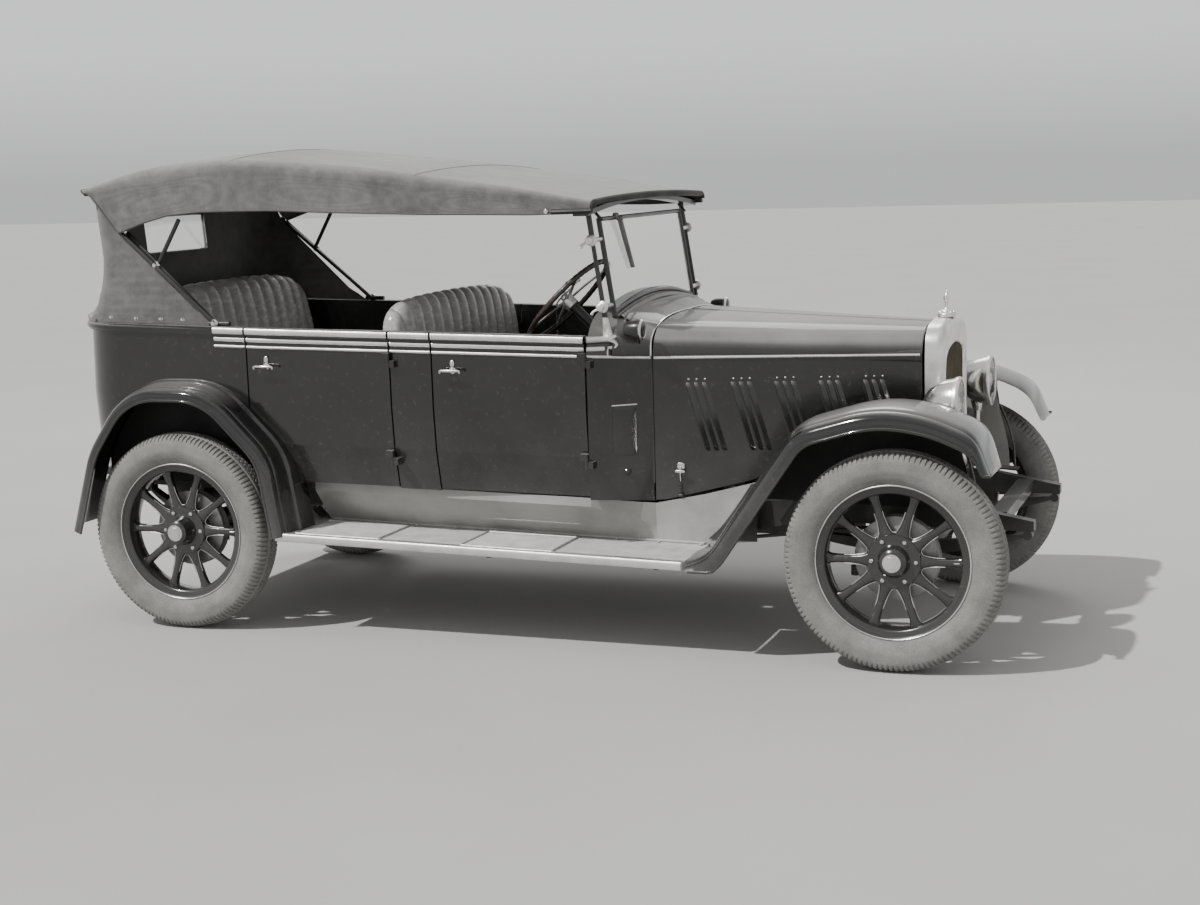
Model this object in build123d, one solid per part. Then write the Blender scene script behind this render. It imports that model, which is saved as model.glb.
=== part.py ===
# Open touring car with its hood up, from the middle of the 1920s.
# Millimetres. X runs forward from the front axle, Y to the car's left, Z up from the ground.
# Right-hand pieces are modelled and the left-hand ones are their mirror images.
from build123d import *
import math
import os

# Chassis sizes
wheelbase = 2820
track = 1430
nose = 430                    # front face of the frame horns
tail = -3342                  # rear face of the body
rake = 1.45                   # the body and frame sit this many degrees nose down
rake_x = -1150                # station where the raked heights hold true
rake_z = 850                  # height where the stations hold true
clearance = 0.3               # between pieces that seat on each other
working_gap = 6               # between pieces that move past each other

# Tyres and wheels
tyre_diameter = 775
tyre_width = 145
bead_radius = 262
rim_width = 92
rim_lip = 9
felloe_radius = 236
spoke_count = 10
spoke_root = 19
spoke_tip = 13
hub_flange_radius = 93
hub_flange_width = 44
hub_barrel_radius = 54
front_hub_length = 68
rear_hub_length = 92
cap_radius = 30
drum_radius = 150
drum_wall = 5
drum_width = 46
drum_inset = 26               # from the wheel's centre plane to the drum's outer face
stub_radius = 16
bore_slack = 0.4

# Front axle and steering
kingpin_y = 610
kingpin_radius = 11
boss_radius = 22
boss_height = 84
lug_height = 22
beam_depth = 46
beam_width = 50
beam_drop = 60                # the middle of the beam lies this far below the wheel centres
tie_arm_length = 160
arm_thickness = 16
ball_pin_radius = 8
drag_pin_y = 437
drop_arm_thickness = 14
drag_link_length = 660
drag_link_radius = 7
drop_eye_z = 385
column_x = -1315
column_y = -350
column_z = 1256
column_angle = 44
steering_wheel_radius = 212
steering_rim_radius = 13

# Frame
rail_y = 385
rail_width = 50
rail_top = 515
rail_end = -3230
spring_width = 48

# Body
wall = 34
scuttle_sheet = 8
sill_height = 545
belt_height = 1148
belt_rail = 12
belt_rail_depth = 30
cowl_front = -945
door_front = -1147
body_half_front = 632
body_half_rear = 690
rear_corner_radius = 230
front_door = (-1147, -1750)   # hinge edge and latch edge
rear_door = (-1920, -2520)
hinge_offset = 16
hinge_barrel = 8
hinge_pin = 4

# Bonnet and radiator
bonnet_wall = 5
bonnet_gap = 8
radiator_back = 18
radiator_front = 92
radiator_half = 253
radiator_base = 560
radiator_shoulder = 1030
radiator_top = 1166

# Headlamps
lamp_x = 172                  # front of the rim
lamp_y = 362
lamp_z = 885
lamp_radius = 100
lamp_depth = 140

# Running boards and the aprons that stand on them
apron_y = 471.5
apron_sheet = 5
board_top = 373
board_thickness = 28
board_outer = 800
board_inner = 452
board_front = -742
board_rear = -2375

wing_wall = 6
front_axle_x = -(nose + tail) / 2    # moves the origin to the middle of the length
wheel_z = tyre_diameter / 2
os.makedirs("parts", exist_ok=True)


def block(x0, x1, y0, y1, z0, z1):
    size = Box(abs(x1 - x0), abs(y1 - y0), abs(z1 - z0))
    return Pos((x0 + x1) / 2, (y0 + y1) / 2, (z0 + z1) / 2) * size


def rod(start, end, radius, end_radius=None):
    """Round bar between two points, tapered when an end radius is given."""
    start, end = Vector(start), Vector(end)
    length = (end - start).length
    place = Plane(origin=(start + end) / 2, z_dir=end - start).location
    if end_radius is None:
        return place * Cylinder(radius, length)
    return place * Cone(radius, end_radius, length)


def side_plate(outline, y0, y1):
    """Plate with an outline of (x, z) points, from y0 to y1."""
    low = min(y0, y1)
    face = make_face(Polyline([(x, low, z) for x, z in outline], close=True))
    return extrude(face, amount=abs(y1 - y0), dir=(0, 1, 0))


def front_plate(outline, x0, x1):
    """Plate with an outline of (y, z) points, from x0 to x1."""
    low = min(x0, x1)
    face = make_face(Polyline([(low, y, z) for y, z in outline], close=True))
    return extrude(face, amount=abs(x1 - x0), dir=(1, 0, 0))


def plan_plate(outline, z0, z1):
    """Plate with an outline of (x, y) points, from z0 to z1."""
    face = make_face(Polyline([(x, y, min(z0, z1)) for x, y in outline], close=True))
    return extrude(face, amount=abs(z1 - z0), dir=(0, 0, 1))


def raked(shape):
    """Tilt a piece modelled level to the stance of the body."""
    return Pos(rake_x, 0, rake_z) * Rot(0, rake, 0) * Pos(-rake_x, 0, -rake_z) * shape


def raked_z(x, level):
    return level - math.tan(math.radians(rake)) * (x - rake_x)


def raked_outline(outline):
    return [(x, raked_z(x, z)) for x, z in outline]


def flipped(shape):
    return mirror(shape, Plane.XZ)


def save(shape, name):
    export_step(Pos(front_axle_x, 0, 0) * shape, f"parts/{name}.step")


def both_sides(shape, name):
    save(shape, f"{name}_right")
    save(flipped(shape), f"{name}_left")


# Wheels. Modelled at the origin with the outside towards -Y.
def spin(outline):
    """Turn an outline of (radius, distance outwards) points about the wheel's axis."""
    face = make_face(Polyline([(r, -out, 0) for r, out in outline], close=True))
    return revolve(face, axis=Axis.Y)


def tyre():
    half = tyre_width / 2
    tread = tyre_diameter / 2
    bead = rim_width / 2 - clearance
    seat = bead_radius + clearance
    lip = bead_radius + rim_lip + clearance
    shoulder = (tread - 16, half - 9)
    belly = (bead_radius + 62, half)
    edge = [Line((seat, -bead), (lip, -bead)),
            ThreePointArc((lip, -bead), (belly[0], -belly[1]), (shoulder[0], -shoulder[1])),
            ThreePointArc((shoulder[0], -shoulder[1]), (tread, 0), shoulder),
            ThreePointArc(shoulder, belly, (lip, bead)),
            Line((lip, bead), (seat, bead)),
            Line((seat, bead), (seat, -bead))]
    return revolve(make_face(edge), axis=Axis.Y)


def wheel(hub_length):
    half = rim_width / 2
    rim = spin([(felloe_radius, half), (bead_radius + rim_lip, half + 6), (bead_radius + rim_lip, half),
                (bead_radius, half), (bead_radius, -half), (bead_radius + rim_lip, -half),
                (bead_radius + rim_lip, -half - 6), (felloe_radius, -half)])
    inner = -drum_inset - drum_width
    hub = spin([(0, hub_length), (cap_radius, hub_length), (hub_barrel_radius - 6, hub_length - 16),
                (hub_barrel_radius, hub_flange_width / 2), (hub_flange_radius, hub_flange_width / 2),
                (hub_flange_radius, -drum_inset), (drum_radius, -drum_inset), (drum_radius, inner),
                (drum_radius - drum_wall, inner), (drum_radius - drum_wall, -drum_inset - drum_wall),
                (hub_barrel_radius, -drum_inset - drum_wall), (hub_barrel_radius, inner + 34),
                (0, inner + 34)])
    shape = rim + hub
    for number in range(spoke_count):
        turn = Rot(0, 360 / spoke_count * number, 0)
        spoke = rod((hub_flange_radius - 8, 0, 0), (felloe_radius + 4, 0, 0), spoke_root, spoke_tip)
        shape += turn * spoke
    bore = rod((0, 60, 0), (0, -42, 0), stub_radius + bore_slack)
    return shape - bore


for end, x, hub_length in (("front", 0, front_hub_length), ("rear", -wheelbase, rear_hub_length)):
    place = Pos(x, -track / 2, wheel_z)
    both_sides(place * wheel(hub_length), f"wheel_{end}")
    both_sides(place * tyre(), f"tyre_{end}")

# Front axle beam with its kingpins, and the knuckles that turn on them
spring_seat = wheel_z - beam_drop + beam_depth / 2
beam_end = kingpin_y - boss_radius + 4
half_beam = [(0, wheel_z - beam_drop - beam_depth / 2), (460, wheel_z - beam_drop - beam_depth / 2),
             (beam_end, wheel_z - beam_depth / 2), (beam_end, wheel_z + beam_depth / 2),
             (450, spring_seat), (0, spring_seat)]
beam = front_plate(half_beam, -beam_width / 2, beam_width / 2)
pin_reach = boss_height / 2 + lug_height
beam += Pos(0, kingpin_y, wheel_z) * Cylinder(boss_radius, boss_height)
beam += Pos(0, kingpin_y, wheel_z) * Cylinder(kingpin_radius, 2 * pin_reach)
save(beam + flipped(beam), "front_axle")

backplate_y = track / 2 - drum_inset - drum_width
backplate_radius = drum_radius - drum_wall - working_gap


def knuckle():
    lug_z = boss_height / 2 + 1
    shape = block(-24, 24, -(kingpin_y + boss_radius + working_gap), -(kingpin_y + 54),
                  wheel_z - lug_z - lug_height, wheel_z + lug_z + lug_height)
    for z in (wheel_z - lug_z - lug_height, wheel_z + lug_z):
        shape += Pos(0, -kingpin_y, z + lug_height / 2) * Cylinder(24, lug_height)
        shape += block(-24, 24, -kingpin_y, -(kingpin_y + 40), z, z + lug_height)
    shape += rod((0, -(kingpin_y + 50), wheel_z), (0, -(track / 2 + 36), wheel_z), stub_radius)
    shape += rod((0, -backplate_y - 4, wheel_z), (0, -backplate_y, wheel_z), backplate_radius)
    low = wheel_z - lug_z - lug_height + 2
    shape += block(-tie_arm_length, 0, -kingpin_y - 13, -kingpin_y + 13, low, low + arm_thickness)
    shape += Pos(-tie_arm_length, -kingpin_y, low + arm_thickness / 2) * Cylinder(17, arm_thickness)
    shape += Pos(-tie_arm_length, -kingpin_y, low - 10) * Cylinder(ball_pin_radius, 20)
    return shape - Pos(0, -kingpin_y, wheel_z) * Cylinder(kingpin_radius + bore_slack, 2 * pin_reach + 20)


tie_rod_z = wheel_z - boss_height / 2 - 1 - lug_height + 2 - 9
drag_arm_z = wheel_z + boss_height / 2 + 1 + 6
drag_z = drag_arm_z + 14 + 10
right_knuckle = knuckle()
drag_arm = block(-13, 13, -kingpin_y + 20, -drag_pin_y, drag_arm_z, drag_arm_z + 14)
drag_arm += Pos(0, -drag_pin_y, drag_arm_z + 7) * Cylinder(14, 14)
drag_arm += Pos(0, -drag_pin_y, drag_arm_z + 22) * Cylinder(ball_pin_radius, 18)
save(right_knuckle + drag_arm, "knuckle_right")
save(flipped(right_knuckle), "knuckle_left")


def eye(x, y, z):
    return Pos(x, y, z) * Cylinder(17, 16)


def eye_bore(x, y, z):
    return Pos(x, y, z) * Cylinder(ball_pin_radius + bore_slack, 40)


tie_rod = rod((-tie_arm_length, -kingpin_y + 12, tie_rod_z), (-tie_arm_length, kingpin_y - 12, tie_rod_z), 7)
for y in (-kingpin_y, kingpin_y):
    tie_rod += eye(-tie_arm_length, y, tie_rod_z)
    tie_rod -= eye_bore(-tie_arm_length, y, tie_rod_z)
save(tie_rod, "tie_rod")

drop_arm_length = kingpin_y - drag_pin_y
drop_shaft_z = drop_eye_z + drop_arm_length
drag_inner = drag_pin_y - 7
neck = -drag_link_length + 28
drag_link = rod((-10, -drag_pin_y, drag_z), (neck, -drag_pin_y, drop_eye_z + 1), drag_link_radius)
drag_link += eye(0, -drag_pin_y, drag_z)
drag_link += block(neck + 3, -drag_link_length + 6, -drag_pin_y - 7, -drag_inner, drop_eye_z - 8, drop_eye_z + 8)
drag_link += rod((-drag_link_length, -drag_pin_y - 7, drop_eye_z), (-drag_link_length, -drag_inner, drop_eye_z), 16)
save(drag_link - eye_bore(0, -drag_pin_y, drag_z), "drag_link")

arm_out = drag_inner - clearance
arm_in = arm_out - drop_arm_thickness
box_side = rail_y + 5
drop_arm = block(-drag_link_length - 12, -drag_link_length + 12, -arm_out, -arm_in, drop_eye_z, drop_shaft_z)
for z in (drop_eye_z, drop_shaft_z):
    drop_arm += rod((-drag_link_length, -arm_out, z), (-drag_link_length, -arm_in, z), 18)
drop_arm += rod((-drag_link_length, -arm_in, drop_shaft_z), (-drag_link_length, -box_side + 36, drop_shaft_z), 10)
save(drop_arm, "drop_arm")

# Steering column with its box on the frame, and the wheel at its top
down = Vector(math.cos(math.radians(column_angle)), 0, -math.sin(math.radians(column_angle)))
column_top = Vector(column_x, column_y, column_z) + down * 30
box_centre = Vector(-drag_link_length, column_y, drop_shaft_z)
box_run = (box_centre.X - column_top.X) / down.X
column_foot = column_top + down * box_run
column = rod(tuple(column_top), tuple(column_foot), 19)
column += rod(tuple(column_top - down * 34), tuple(column_top + down * 5), 9)
column += rod((box_centre.X, -box_side, box_centre.Z), (box_centre.X, -box_side + 80, box_centre.Z), 46)
column += rod(tuple(column_foot), (box_centre.X, column_y, box_centre.Z), 30)
column += block(box_centre.X - 45, box_centre.X + 45, -box_side, -box_side + 40,
                raked_z(box_centre.X + 45, 526) + clearance, box_centre.Z)
column -= rod((box_centre.X, -box_side + 40, box_centre.Z), (box_centre.X, -box_side, box_centre.Z), 10 + bore_slack)
save(column, "steering_column")

hub_start = column_top - down * clearance
steering = rod(tuple(hub_start), tuple(hub_start - down * 38), 26)
steering -= rod(tuple(hub_start + down), tuple(hub_start - down * 34), 9 + bore_slack)
rim_place = Plane(origin=hub_start - down * 30, z_dir=-down, x_dir=(0, 1, 0))
steering += rim_place.location * Torus(steering_wheel_radius, steering_rim_radius)
for number in range(4):
    ray = rim_place.location * Rot(0, 0, 45 + 90 * number)
    steering += ray * Pos(steering_wheel_radius / 2 + 8, 0, 0) * Box(steering_wheel_radius - 18, 20, 9)
save(steering, "steering_wheel")

# Frame rails, cross members and the arms that carry the running boards
rail_outline = [(nose, 520), (150, 565), (-350, 560), (-700, rail_top), (rail_end, rail_top), (rail_end, 455),
                (-2600, 455), (-2300, 405), (-700, 405), (-350, 475), (180, 480), (nose, 485)]
rail = side_plate(raked_outline(rail_outline), -rail_y - rail_width / 2, -rail_y + rail_width / 2)
rail_inner = rail_y - rail_width / 2
board_under = board_top - board_thickness - clearance
arm_outline = [(rail_y, 480), (rail_y, 412), (452, board_under - 22), (770, board_under - 12),
               (770, board_under), (440, board_under)]
for x in (-850, -1500, -2150):
    rail += front_plate([(-y, raked_z(x + 8, z)) for y, z in arm_outline], x - 8, x + 8)
frame = rail + flipped(rail)
for x, width, low, high in ((300, 60, 495, 540), (-1450, 70, 476, rail_top), (-2150, 70, 445, rail_top),
                            (rail_end + 30, 60, 460, rail_top)):
    frame += block(x - width / 2, x + width / 2, -rail_inner - 1, rail_inner + 1,
                   raked_z(x, low), raked_z(x + width / 2, high))
radiator_middle = (radiator_back + radiator_front) / 2
frame += block(radiator_middle - 30, radiator_middle + 30, -rail_inner - 1, rail_inner + 1,
               radiator_base - 50, radiator_base - clearance)
hitch_x = rail_end + 30
for y in (-150, 150):
    frame -= Pos(hitch_x, y, rail_top) * Cylinder(5.5, 300)
save(frame, "chassis_frame")


def leaf_spring(front_x, middle_x, rear_x, middle_top, depth, level_front, level_rear):
    """Leaf pack whose eyes hang under the rail at both ends."""
    eye_radius = 16
    front_z = raked_z(front_x, level_front) - eye_radius - clearance
    rear_z = raked_z(rear_x, level_rear) - eye_radius - clearance
    upper = ThreePointArc((front_x, front_z + 4), (middle_x, middle_top), (rear_x, rear_z + 4))
    lower = ThreePointArc((rear_x, rear_z - 4), (middle_x, middle_top - depth), (front_x, front_z - 4))
    outline = [upper, Line(upper @ 1, lower @ 0), lower, Line(lower @ 1, upper @ 0)]
    face = Plane.XZ * make_face(outline)
    pack = Pos(0, -rail_y + spring_width / 2, 0) * extrude(face, amount=spring_width)
    for x, z in ((front_x, front_z), (rear_x, rear_z)):
        pack += rod((x, -rail_y - spring_width / 2, z), (x, -rail_y + spring_width / 2, z), eye_radius)
    return pack


front_spring = leaf_spring(nose - 22, 0, -440, spring_seat + 44 + clearance, 44, 484.5, 456.7)
rear_axle_tube = 38
rear_spring = leaf_spring(-2310, -wheelbase, -3190, wheel_z - rear_axle_tube - 1, 46, 406.4, 455)
springs = front_spring + rear_spring
save(springs + flipped(springs), "leaf_springs")

# Rear axle with final drive, torque tube and brake back plates
rear_axle = rod((-wheelbase, -backplate_y, wheel_z), (-wheelbase, backplate_y, wheel_z), rear_axle_tube)
rear_axle += Pos(-wheelbase, 0, wheel_z) * Sphere(140)
rear_axle += rod((-wheelbase + 60, 0, wheel_z + 4), (-1370, 0, 440), 34)
for side in (-1, 1):
    rear_axle += rod((-wheelbase, side * backplate_y, wheel_z), (-wheelbase, side * (backplate_y + 4), wheel_z),
                     backplate_radius)
    rear_axle += rod((-wheelbase, side * backplate_y, wheel_z), (-wheelbase, side * (track / 2 + 36), wheel_z),
                     stub_radius)
save(rear_axle, "rear_axle")

# Engine and gearbox as one plain block on the frame
engine = block(-760, -230, -150, 150, 400, 960) + block(-700, -280, -110, 110, 340, 401)
engine += block(-1368, -759, -115, 115, 362, 505)
engine_mount = rail_inner - clearance
engine += block(-340, -300, -engine_mount, engine_mount, 470, 520)
save(engine, "engine_block")

# Exhaust along the left of the frame
exhaust = rod((-560, 230, 395), (-1560, 230, 395), 24) + rod((-1560, 230, 395), (-2120, 230, 395), 62)
exhaust += rod((-2120, 230, 395), (-2560, 230, 395), 20)
exhaust += rod((-560, 150 + clearance, 440), (-560, 232, 440), 26) + rod((-560, 230, 395), (-560, 230, 450), 24)
hanger_top = raked_z(-1415, 476) - clearance
exhaust += block(-1480, -1420, 226, 234, 395, hanger_top)
save(exhaust, "exhaust")

# Fuel tank between the rear frame ends
tank_x = -wheelbase - 260
tank = rod((tank_x, -300, 455), (tank_x, 300, 455), 88)
tank += block(tank_x - 20, tank_x + 20, -rail_inner + clearance, rail_inner - clearance, 520, 536)
save(tank, "fuel_tank")


# Bonnet and cowl sections
def hood_section(x, half, low, shoulder, crown, fullness, inset):
    """Closed face across the car, with round shoulders under a shallow crown."""
    y, s, c = half - inset, shoulder, crown - inset
    corner = (y * 0.9, s + (c - s) * (fullness - 0.2))
    turn = (y * 0.72, s + (c - s) * fullness)
    edge = [Line((x, -y, low), (x, -y, s)),
            ThreePointArc((x, -y, s), (x, -corner[0], corner[1]), (x, -turn[0], turn[1])),
            ThreePointArc((x, -turn[0], turn[1]), (x, 0, c), (x, turn[0], turn[1])),
            ThreePointArc((x, turn[0], turn[1]), (x, corner[0], corner[1]), (x, y, s)),
            Line((x, y, s), (x, y, low)),
            Line((x, y, low), (x, -y, low))]
    return make_face(edge)


# x, half width, sill, shoulder height, crown height, share of the rise reached where the crown starts
bonnet_rear = (cowl_front + 6, 480, 500, 1062, 1196, 0.86)
bonnet_nose = (radiator_back - bonnet_gap, 250, 500, 1020, 1148, 0.86)
cowl_nose = (cowl_front, 482, 500, 1062, 1198, 0.86)
cowl_tail = (door_front, body_half_front, 500, 1080, 1280, 0.74)


def hood_volume(first, second, inset=0):
    return loft([hood_section(*first, inset), hood_section(*second, inset)], ruled=True)


def inner_volume(first, second, inset):
    """Space inside the skin between two sections, carried on past both ends."""
    slope = [(b - a) * 0.2 for a, b in zip(first, second)]
    before = [a - s for a, s in zip(first, slope)]
    after = [b + s for b, s in zip(second, slope)]
    before[2] = after[2] = 400
    return hood_volume(before, after, inset)


def shell(first, second, thickness):
    """Hollow shell between two sections, open at both ends and below."""
    return hood_volume(first, second) - inner_volume(first, second, thickness)


bonnet = shell(bonnet_rear, bonnet_nose, bonnet_wall)
lower_edge = [(-1000, 400), (-1000, 524), (-900, 528), (-600, 594), (-400, 679), (0, 800), (100, 830), (100, 400)]
bonnet -= side_plate(lower_edge, -700, 700)
hinge_half = 9
ridge_rear = Vector(cowl_front + clearance, 0, bonnet_rear[4] - 2)
ridge_nose = Vector(radiator_back + 4, 0, bonnet_nose[4] - 2)
ridge_knuckles = 12


def bonnet_half(side):
    """One half of the bonnet with its turns of the hinge round the rod on the ridge."""
    half = bonnet & block(-1000, 100, side * 700, side * hinge_half, 400, 1400)
    start, end = Vector(bonnet_rear[0] + 4, 0, 0), Vector(bonnet_nose[0] - 4, 0, 0)
    pitch = (end.X - start.X) / ridge_knuckles
    slope = (ridge_nose.Z - ridge_rear.Z) / (ridge_nose.X - ridge_rear.X)
    for number in range(0 if side < 0 else 1, ridge_knuckles, 2):
        x0 = start.X + pitch * number + 1
        x1 = x0 + pitch - 2
        z0, z1 = (ridge_rear.Z + slope * (x - ridge_rear.X) for x in (x0, x1))
        half += rod((x0, 0, z0), (x1, 0, z1), 6.5)
        half += side_plate([(x0, z0 - 5), (x1, z1 - 5), (x1, z1 - 2), (x0, z0 - 2)], 0, side * (hinge_half + 8))
    return half - rod(ridge_rear, ridge_nose, 4 + bore_slack)


save(bonnet_half(-1), "bonnet_right")
save(bonnet_half(1), "bonnet_left")

cowl = shell(cowl_nose, cowl_tail, wall)


# Body walls: one section carried round the plan of the tub, then cut into its panels
def tub_wall():
    plan = FilletPolyline((door_front + 4, -body_half_front, 0), (-2450, -body_half_rear, 0),
                          (tail, -body_half_rear + 25, 0), (tail, body_half_rear - 25, 0),
                          (-2450, body_half_rear, 0), (door_front + 4, body_half_front, 0),
                          radius=[1500, rear_corner_radius, rear_corner_radius, 1500])
    # distance outwards, height
    outline = [(-45, sill_height), (-12, 700), (0, 860), (0, belt_height - belt_rail_depth),
               (belt_rail, belt_height - belt_rail_depth), (belt_rail, belt_height), (-wall, belt_height),
               (-wall, 860), (-wall - 12, 700), (-wall - 45, sill_height)]
    start = Plane(origin=plan @ 0, z_dir=plan % 0, x_dir=(0, -1, 0))
    face = make_face(Polyline([start.from_local_coords((out, z if start.y_dir.Z > 0 else -z, 0))
                               for out, z in outline], close=True))
    return sweep(face, path=plan)


tub = raked(tub_wall())

# Rear wing line in side view, front end first, and the front wing line from its tip
rear_line = [(-2335, raked_z(-2335, board_top) - 10), (-2385, 700), (-2640, 955), (-3010, 955), (-3190, 700), (-3285, 385)]
rear_radii = [250, 300, 280, 350]
front_line = [(342, 702), (288, 848), (20, 962), (-345, 858), (-668, 392), (-738, 370)]
front_radii = [130, 540, 200, 110]
# distance from the car's middle, depth below the crown line
rear_wing_section = [(822, 45), (822, 12), (806, 0), (760, -8), (700, -20), (600, -20)]
front_wing_section = [(820, 78), (806, 50), (770, 24), (710, 6), (620, 0), (540, 5), (474, 20)]
wheelhouse_y = 600
wing_corner = 115             # round of the front wing's inner front corner in plan


def wing_skin(line, radii, section):
    path = FilletPolyline([(x, 0, z) for x, z in line], radius=radii)
    start = Plane(origin=path @ 0, z_dir=path % 0, x_dir=(0, 1, 0))
    lower = [(y - 3 if y > 700 else y, depth + wing_wall) for y, depth in reversed(section)]
    points = [start.from_local_coords((-y, depth, 0)) for y, depth in section + lower]
    return sweep(make_face(Polyline(points, close=True)), path=path)


def under_line(line, radii, y0, y1, drop=0):
    """Plate that fills a wing line down to its lowest point, sunk by a distance."""
    low = min(y0, y1)
    path = FilletPolyline([(x, low, z) for x, z in line], radius=radii)
    face = make_face(path.edges() + Line(path @ 1, path @ 0).edges())
    if drop:
        face = offset(face, amount=-drop)
    return extrude(face, amount=abs(y1 - y0), dir=(0, 1, 0))


ridge = 20                    # the rear wing's inner part stands this far outside its line
wing_foot = rear_line[0][1]


def arch(gap):
    """What the rear wing takes from the body side, with a gap all round."""
    low = block(rear_line[-1][0] - ridge - gap, rear_line[0][0] + ridge + gap, -900, -500, 300, wing_foot + 60)
    return under_line(rear_line, rear_radii, -900, -500, -ridge - gap) + low


body_arch = arch(clearance)
rear_cut = body_arch + flipped(body_arch)
tub_fixed = tub - rear_cut


def panel(x0, x1, y0=-900, y1=-300):
    return block(x0, x1, y0, y1, 400, 1400)


def hinge_half_lug(x, y, z, door_side):
    """One knuckle of a door hinge with the leaf that joins it to its panel."""
    shape = Pos(x, y, z) * Cylinder(hinge_barrel, 26)
    reach = -26 if door_side else 26
    shape += block(min(x, x + reach), max(x, x + reach), y - 3, y + hinge_offset + 40, z - 13, z + 13)
    return shape


def side_y(x):
    """Distance from the car's middle to the outside of the body at a station."""
    share = (door_front - x) / (door_front + 2450)
    return body_half_front + (body_half_rear - body_half_front) * min(max(share, 0), 1)


hinge_heights = (690, belt_height - 88)
posts = {}
for name, (front, back) in (("front", front_door), ("rear", rear_door)):
    door = tub & panel(back + working_gap / 2, front - working_gap / 2)
    door -= arch(working_gap + 2)
    door -= raked(block(-2600, -1000, -900, 0, 500, sill_height + working_gap))
    axis_y = -(side_y(front) + hinge_offset)
    for z in hinge_heights:
        pin = Pos(front, axis_y, z) * Cylinder(hinge_pin, 80)
        leaf = hinge_half_lug(front, axis_y, z + 14, True)
        leaf -= Pos(front, axis_y, z + 14) * Cylinder(hinge_pin + bore_slack, 60)
        door += leaf & block(front - 60, front + 9, -900, 0, z, z + 40)
        fixed = hinge_half_lug(front, axis_y, z - 14, False)
        fixed += Pos(front, axis_y, z + 1) * Cylinder(hinge_pin, 52)
        posts.setdefault(name, []).append(fixed)
    both_sides(door, f"door_{name}")

post_gap = working_gap / 2
centre_post = tub & panel(rear_door[0] + post_gap, front_door[1] - post_gap)
for lug in posts["rear"]:
    centre_post += lug
save(centre_post + flipped(centre_post), "centre_posts")

scuttle_edge = [(-1300, 400), (-1300, sill_height), (door_front, sill_height), (cowl_front, 524), (-900, 522), (-900, 400)]
scuttle = cowl - side_plate(scuttle_edge, -900, 900)
scuttle &= block(door_front + post_gap, 0, -900, 900, 400, 1400)
for lug in posts["front"]:
    scuttle += lug + flipped(lug)
bulkhead_x = cowl_front - 10
cowl_solid = hood_volume(cowl_nose, cowl_tail)
bulkhead = inner_volume(cowl_nose, cowl_tail, wall - 4)
bulkhead &= block(bulkhead_x - scuttle_sheet, bulkhead_x, -900, 900, 552, 1400)
column_hole = rod(tuple(column_top + down * 5), tuple(column_foot), 19 + 2)
bulkhead_foot = block(bulkhead_x - scuttle_sheet, bulkhead_x, -rail_y - 25, -rail_y + 25,
                      raked_z(cowl_front, rail_top) + 1, 560)
scuttle += bulkhead + bulkhead_foot + flipped(bulkhead_foot) - column_hole
save(scuttle, "scuttle")

rear_side = tub_fixed & panel(tail + rear_corner_radius, rear_door[1] - post_gap)
save(rear_side + flipped(rear_side), "rear_quarters")
save(tub_fixed & block(tail - 30, tail + rear_corner_radius - clearance, -900, 900, 400, 1400), "back_panel")


# Wings with their inner walls
def board_slab(gap):
    outline = [(board_rear - gap, board_top + gap), (board_front + gap, board_top + gap),
               (board_front + gap, board_top - board_thickness - gap),
               (board_rear - gap, board_top - board_thickness - gap)]
    return side_plate(raked_outline(outline), -board_outer - gap, -board_inner + gap)


def rear_wing():
    skin = wing_skin(rear_line, rear_radii, rear_wing_section)
    cheek = under_line(rear_line, rear_radii, -wheelhouse_y, -wheelhouse_y - 6, -ridge)
    cheek &= block(-3400, -2200, -700, -500, 560, 1200)
    return skin + cheek - board_slab(clearance)


def front_wing():
    skin = wing_skin(front_line, front_radii, front_wing_section)
    inner = front_wing_section[-1][0]
    cheek = Pos(0, 0, -24) * under_line(front_line, front_radii, -inner - 6, -inner)
    cheek &= block(-560, 400, -500, -300, raked_z(-560, 560), 1200)
    shelf = [(-430, 561 + clearance), (150, 565 + clearance), (260, 560), (260, 568), (150, 572), (-430, 568)]
    shelf = side_plate(raked_outline(shelf), -inner - 4, -rail_y - rail_width / 2 + 8)
    corner_x, corner_y = front_line[0][0] - wing_corner, inner + wing_corner
    corner = block(corner_x, corner_x + 400, -corner_y, -inner + 5, 400, 1200)
    corner -= Pos(corner_x, -corner_y, 800) * Cylinder(wing_corner, 900)
    foot = block(-800, -560, -900, -inner + 5, 200, raked_z(board_front, board_top - board_thickness))
    return skin + cheek + shelf - corner - foot - board_slab(clearance)


right_rear_wing = rear_wing()
right_front_wing = front_wing()
save(right_rear_wing + flipped(right_rear_wing), "rear_wings")
save(right_front_wing + flipped(right_front_wing), "front_wings")

# Floor, running boards and the sloping valances above them
floor_side = 589
floor_plan = [(-1000, -450), (-1150, -580), (-2320, -floor_side), (-2320, -560), (-3290, -560),
              (-3290, 560), (-2320, 560), (-2320, floor_side), (-1150, 580), (-1000, 450)]
floor = plan_plate(floor_plan, 400, 700)
floor_top = sill_height - clearance
floor_low = rail_top + clearance
floor &= side_plate(raked_outline([(-900, floor_low), (-900, floor_top), (-3400, floor_top), (-3400, floor_low)]),
                    -700, 700)
save(floor, "floor")

board = board_slab(0)
save(board + flipped(board), "running_boards")
apron_seat = board_top + clearance
apron_top_y = floor_side + clearance + apron_sheet
apron_knee_z = floor_low - 3
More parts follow.
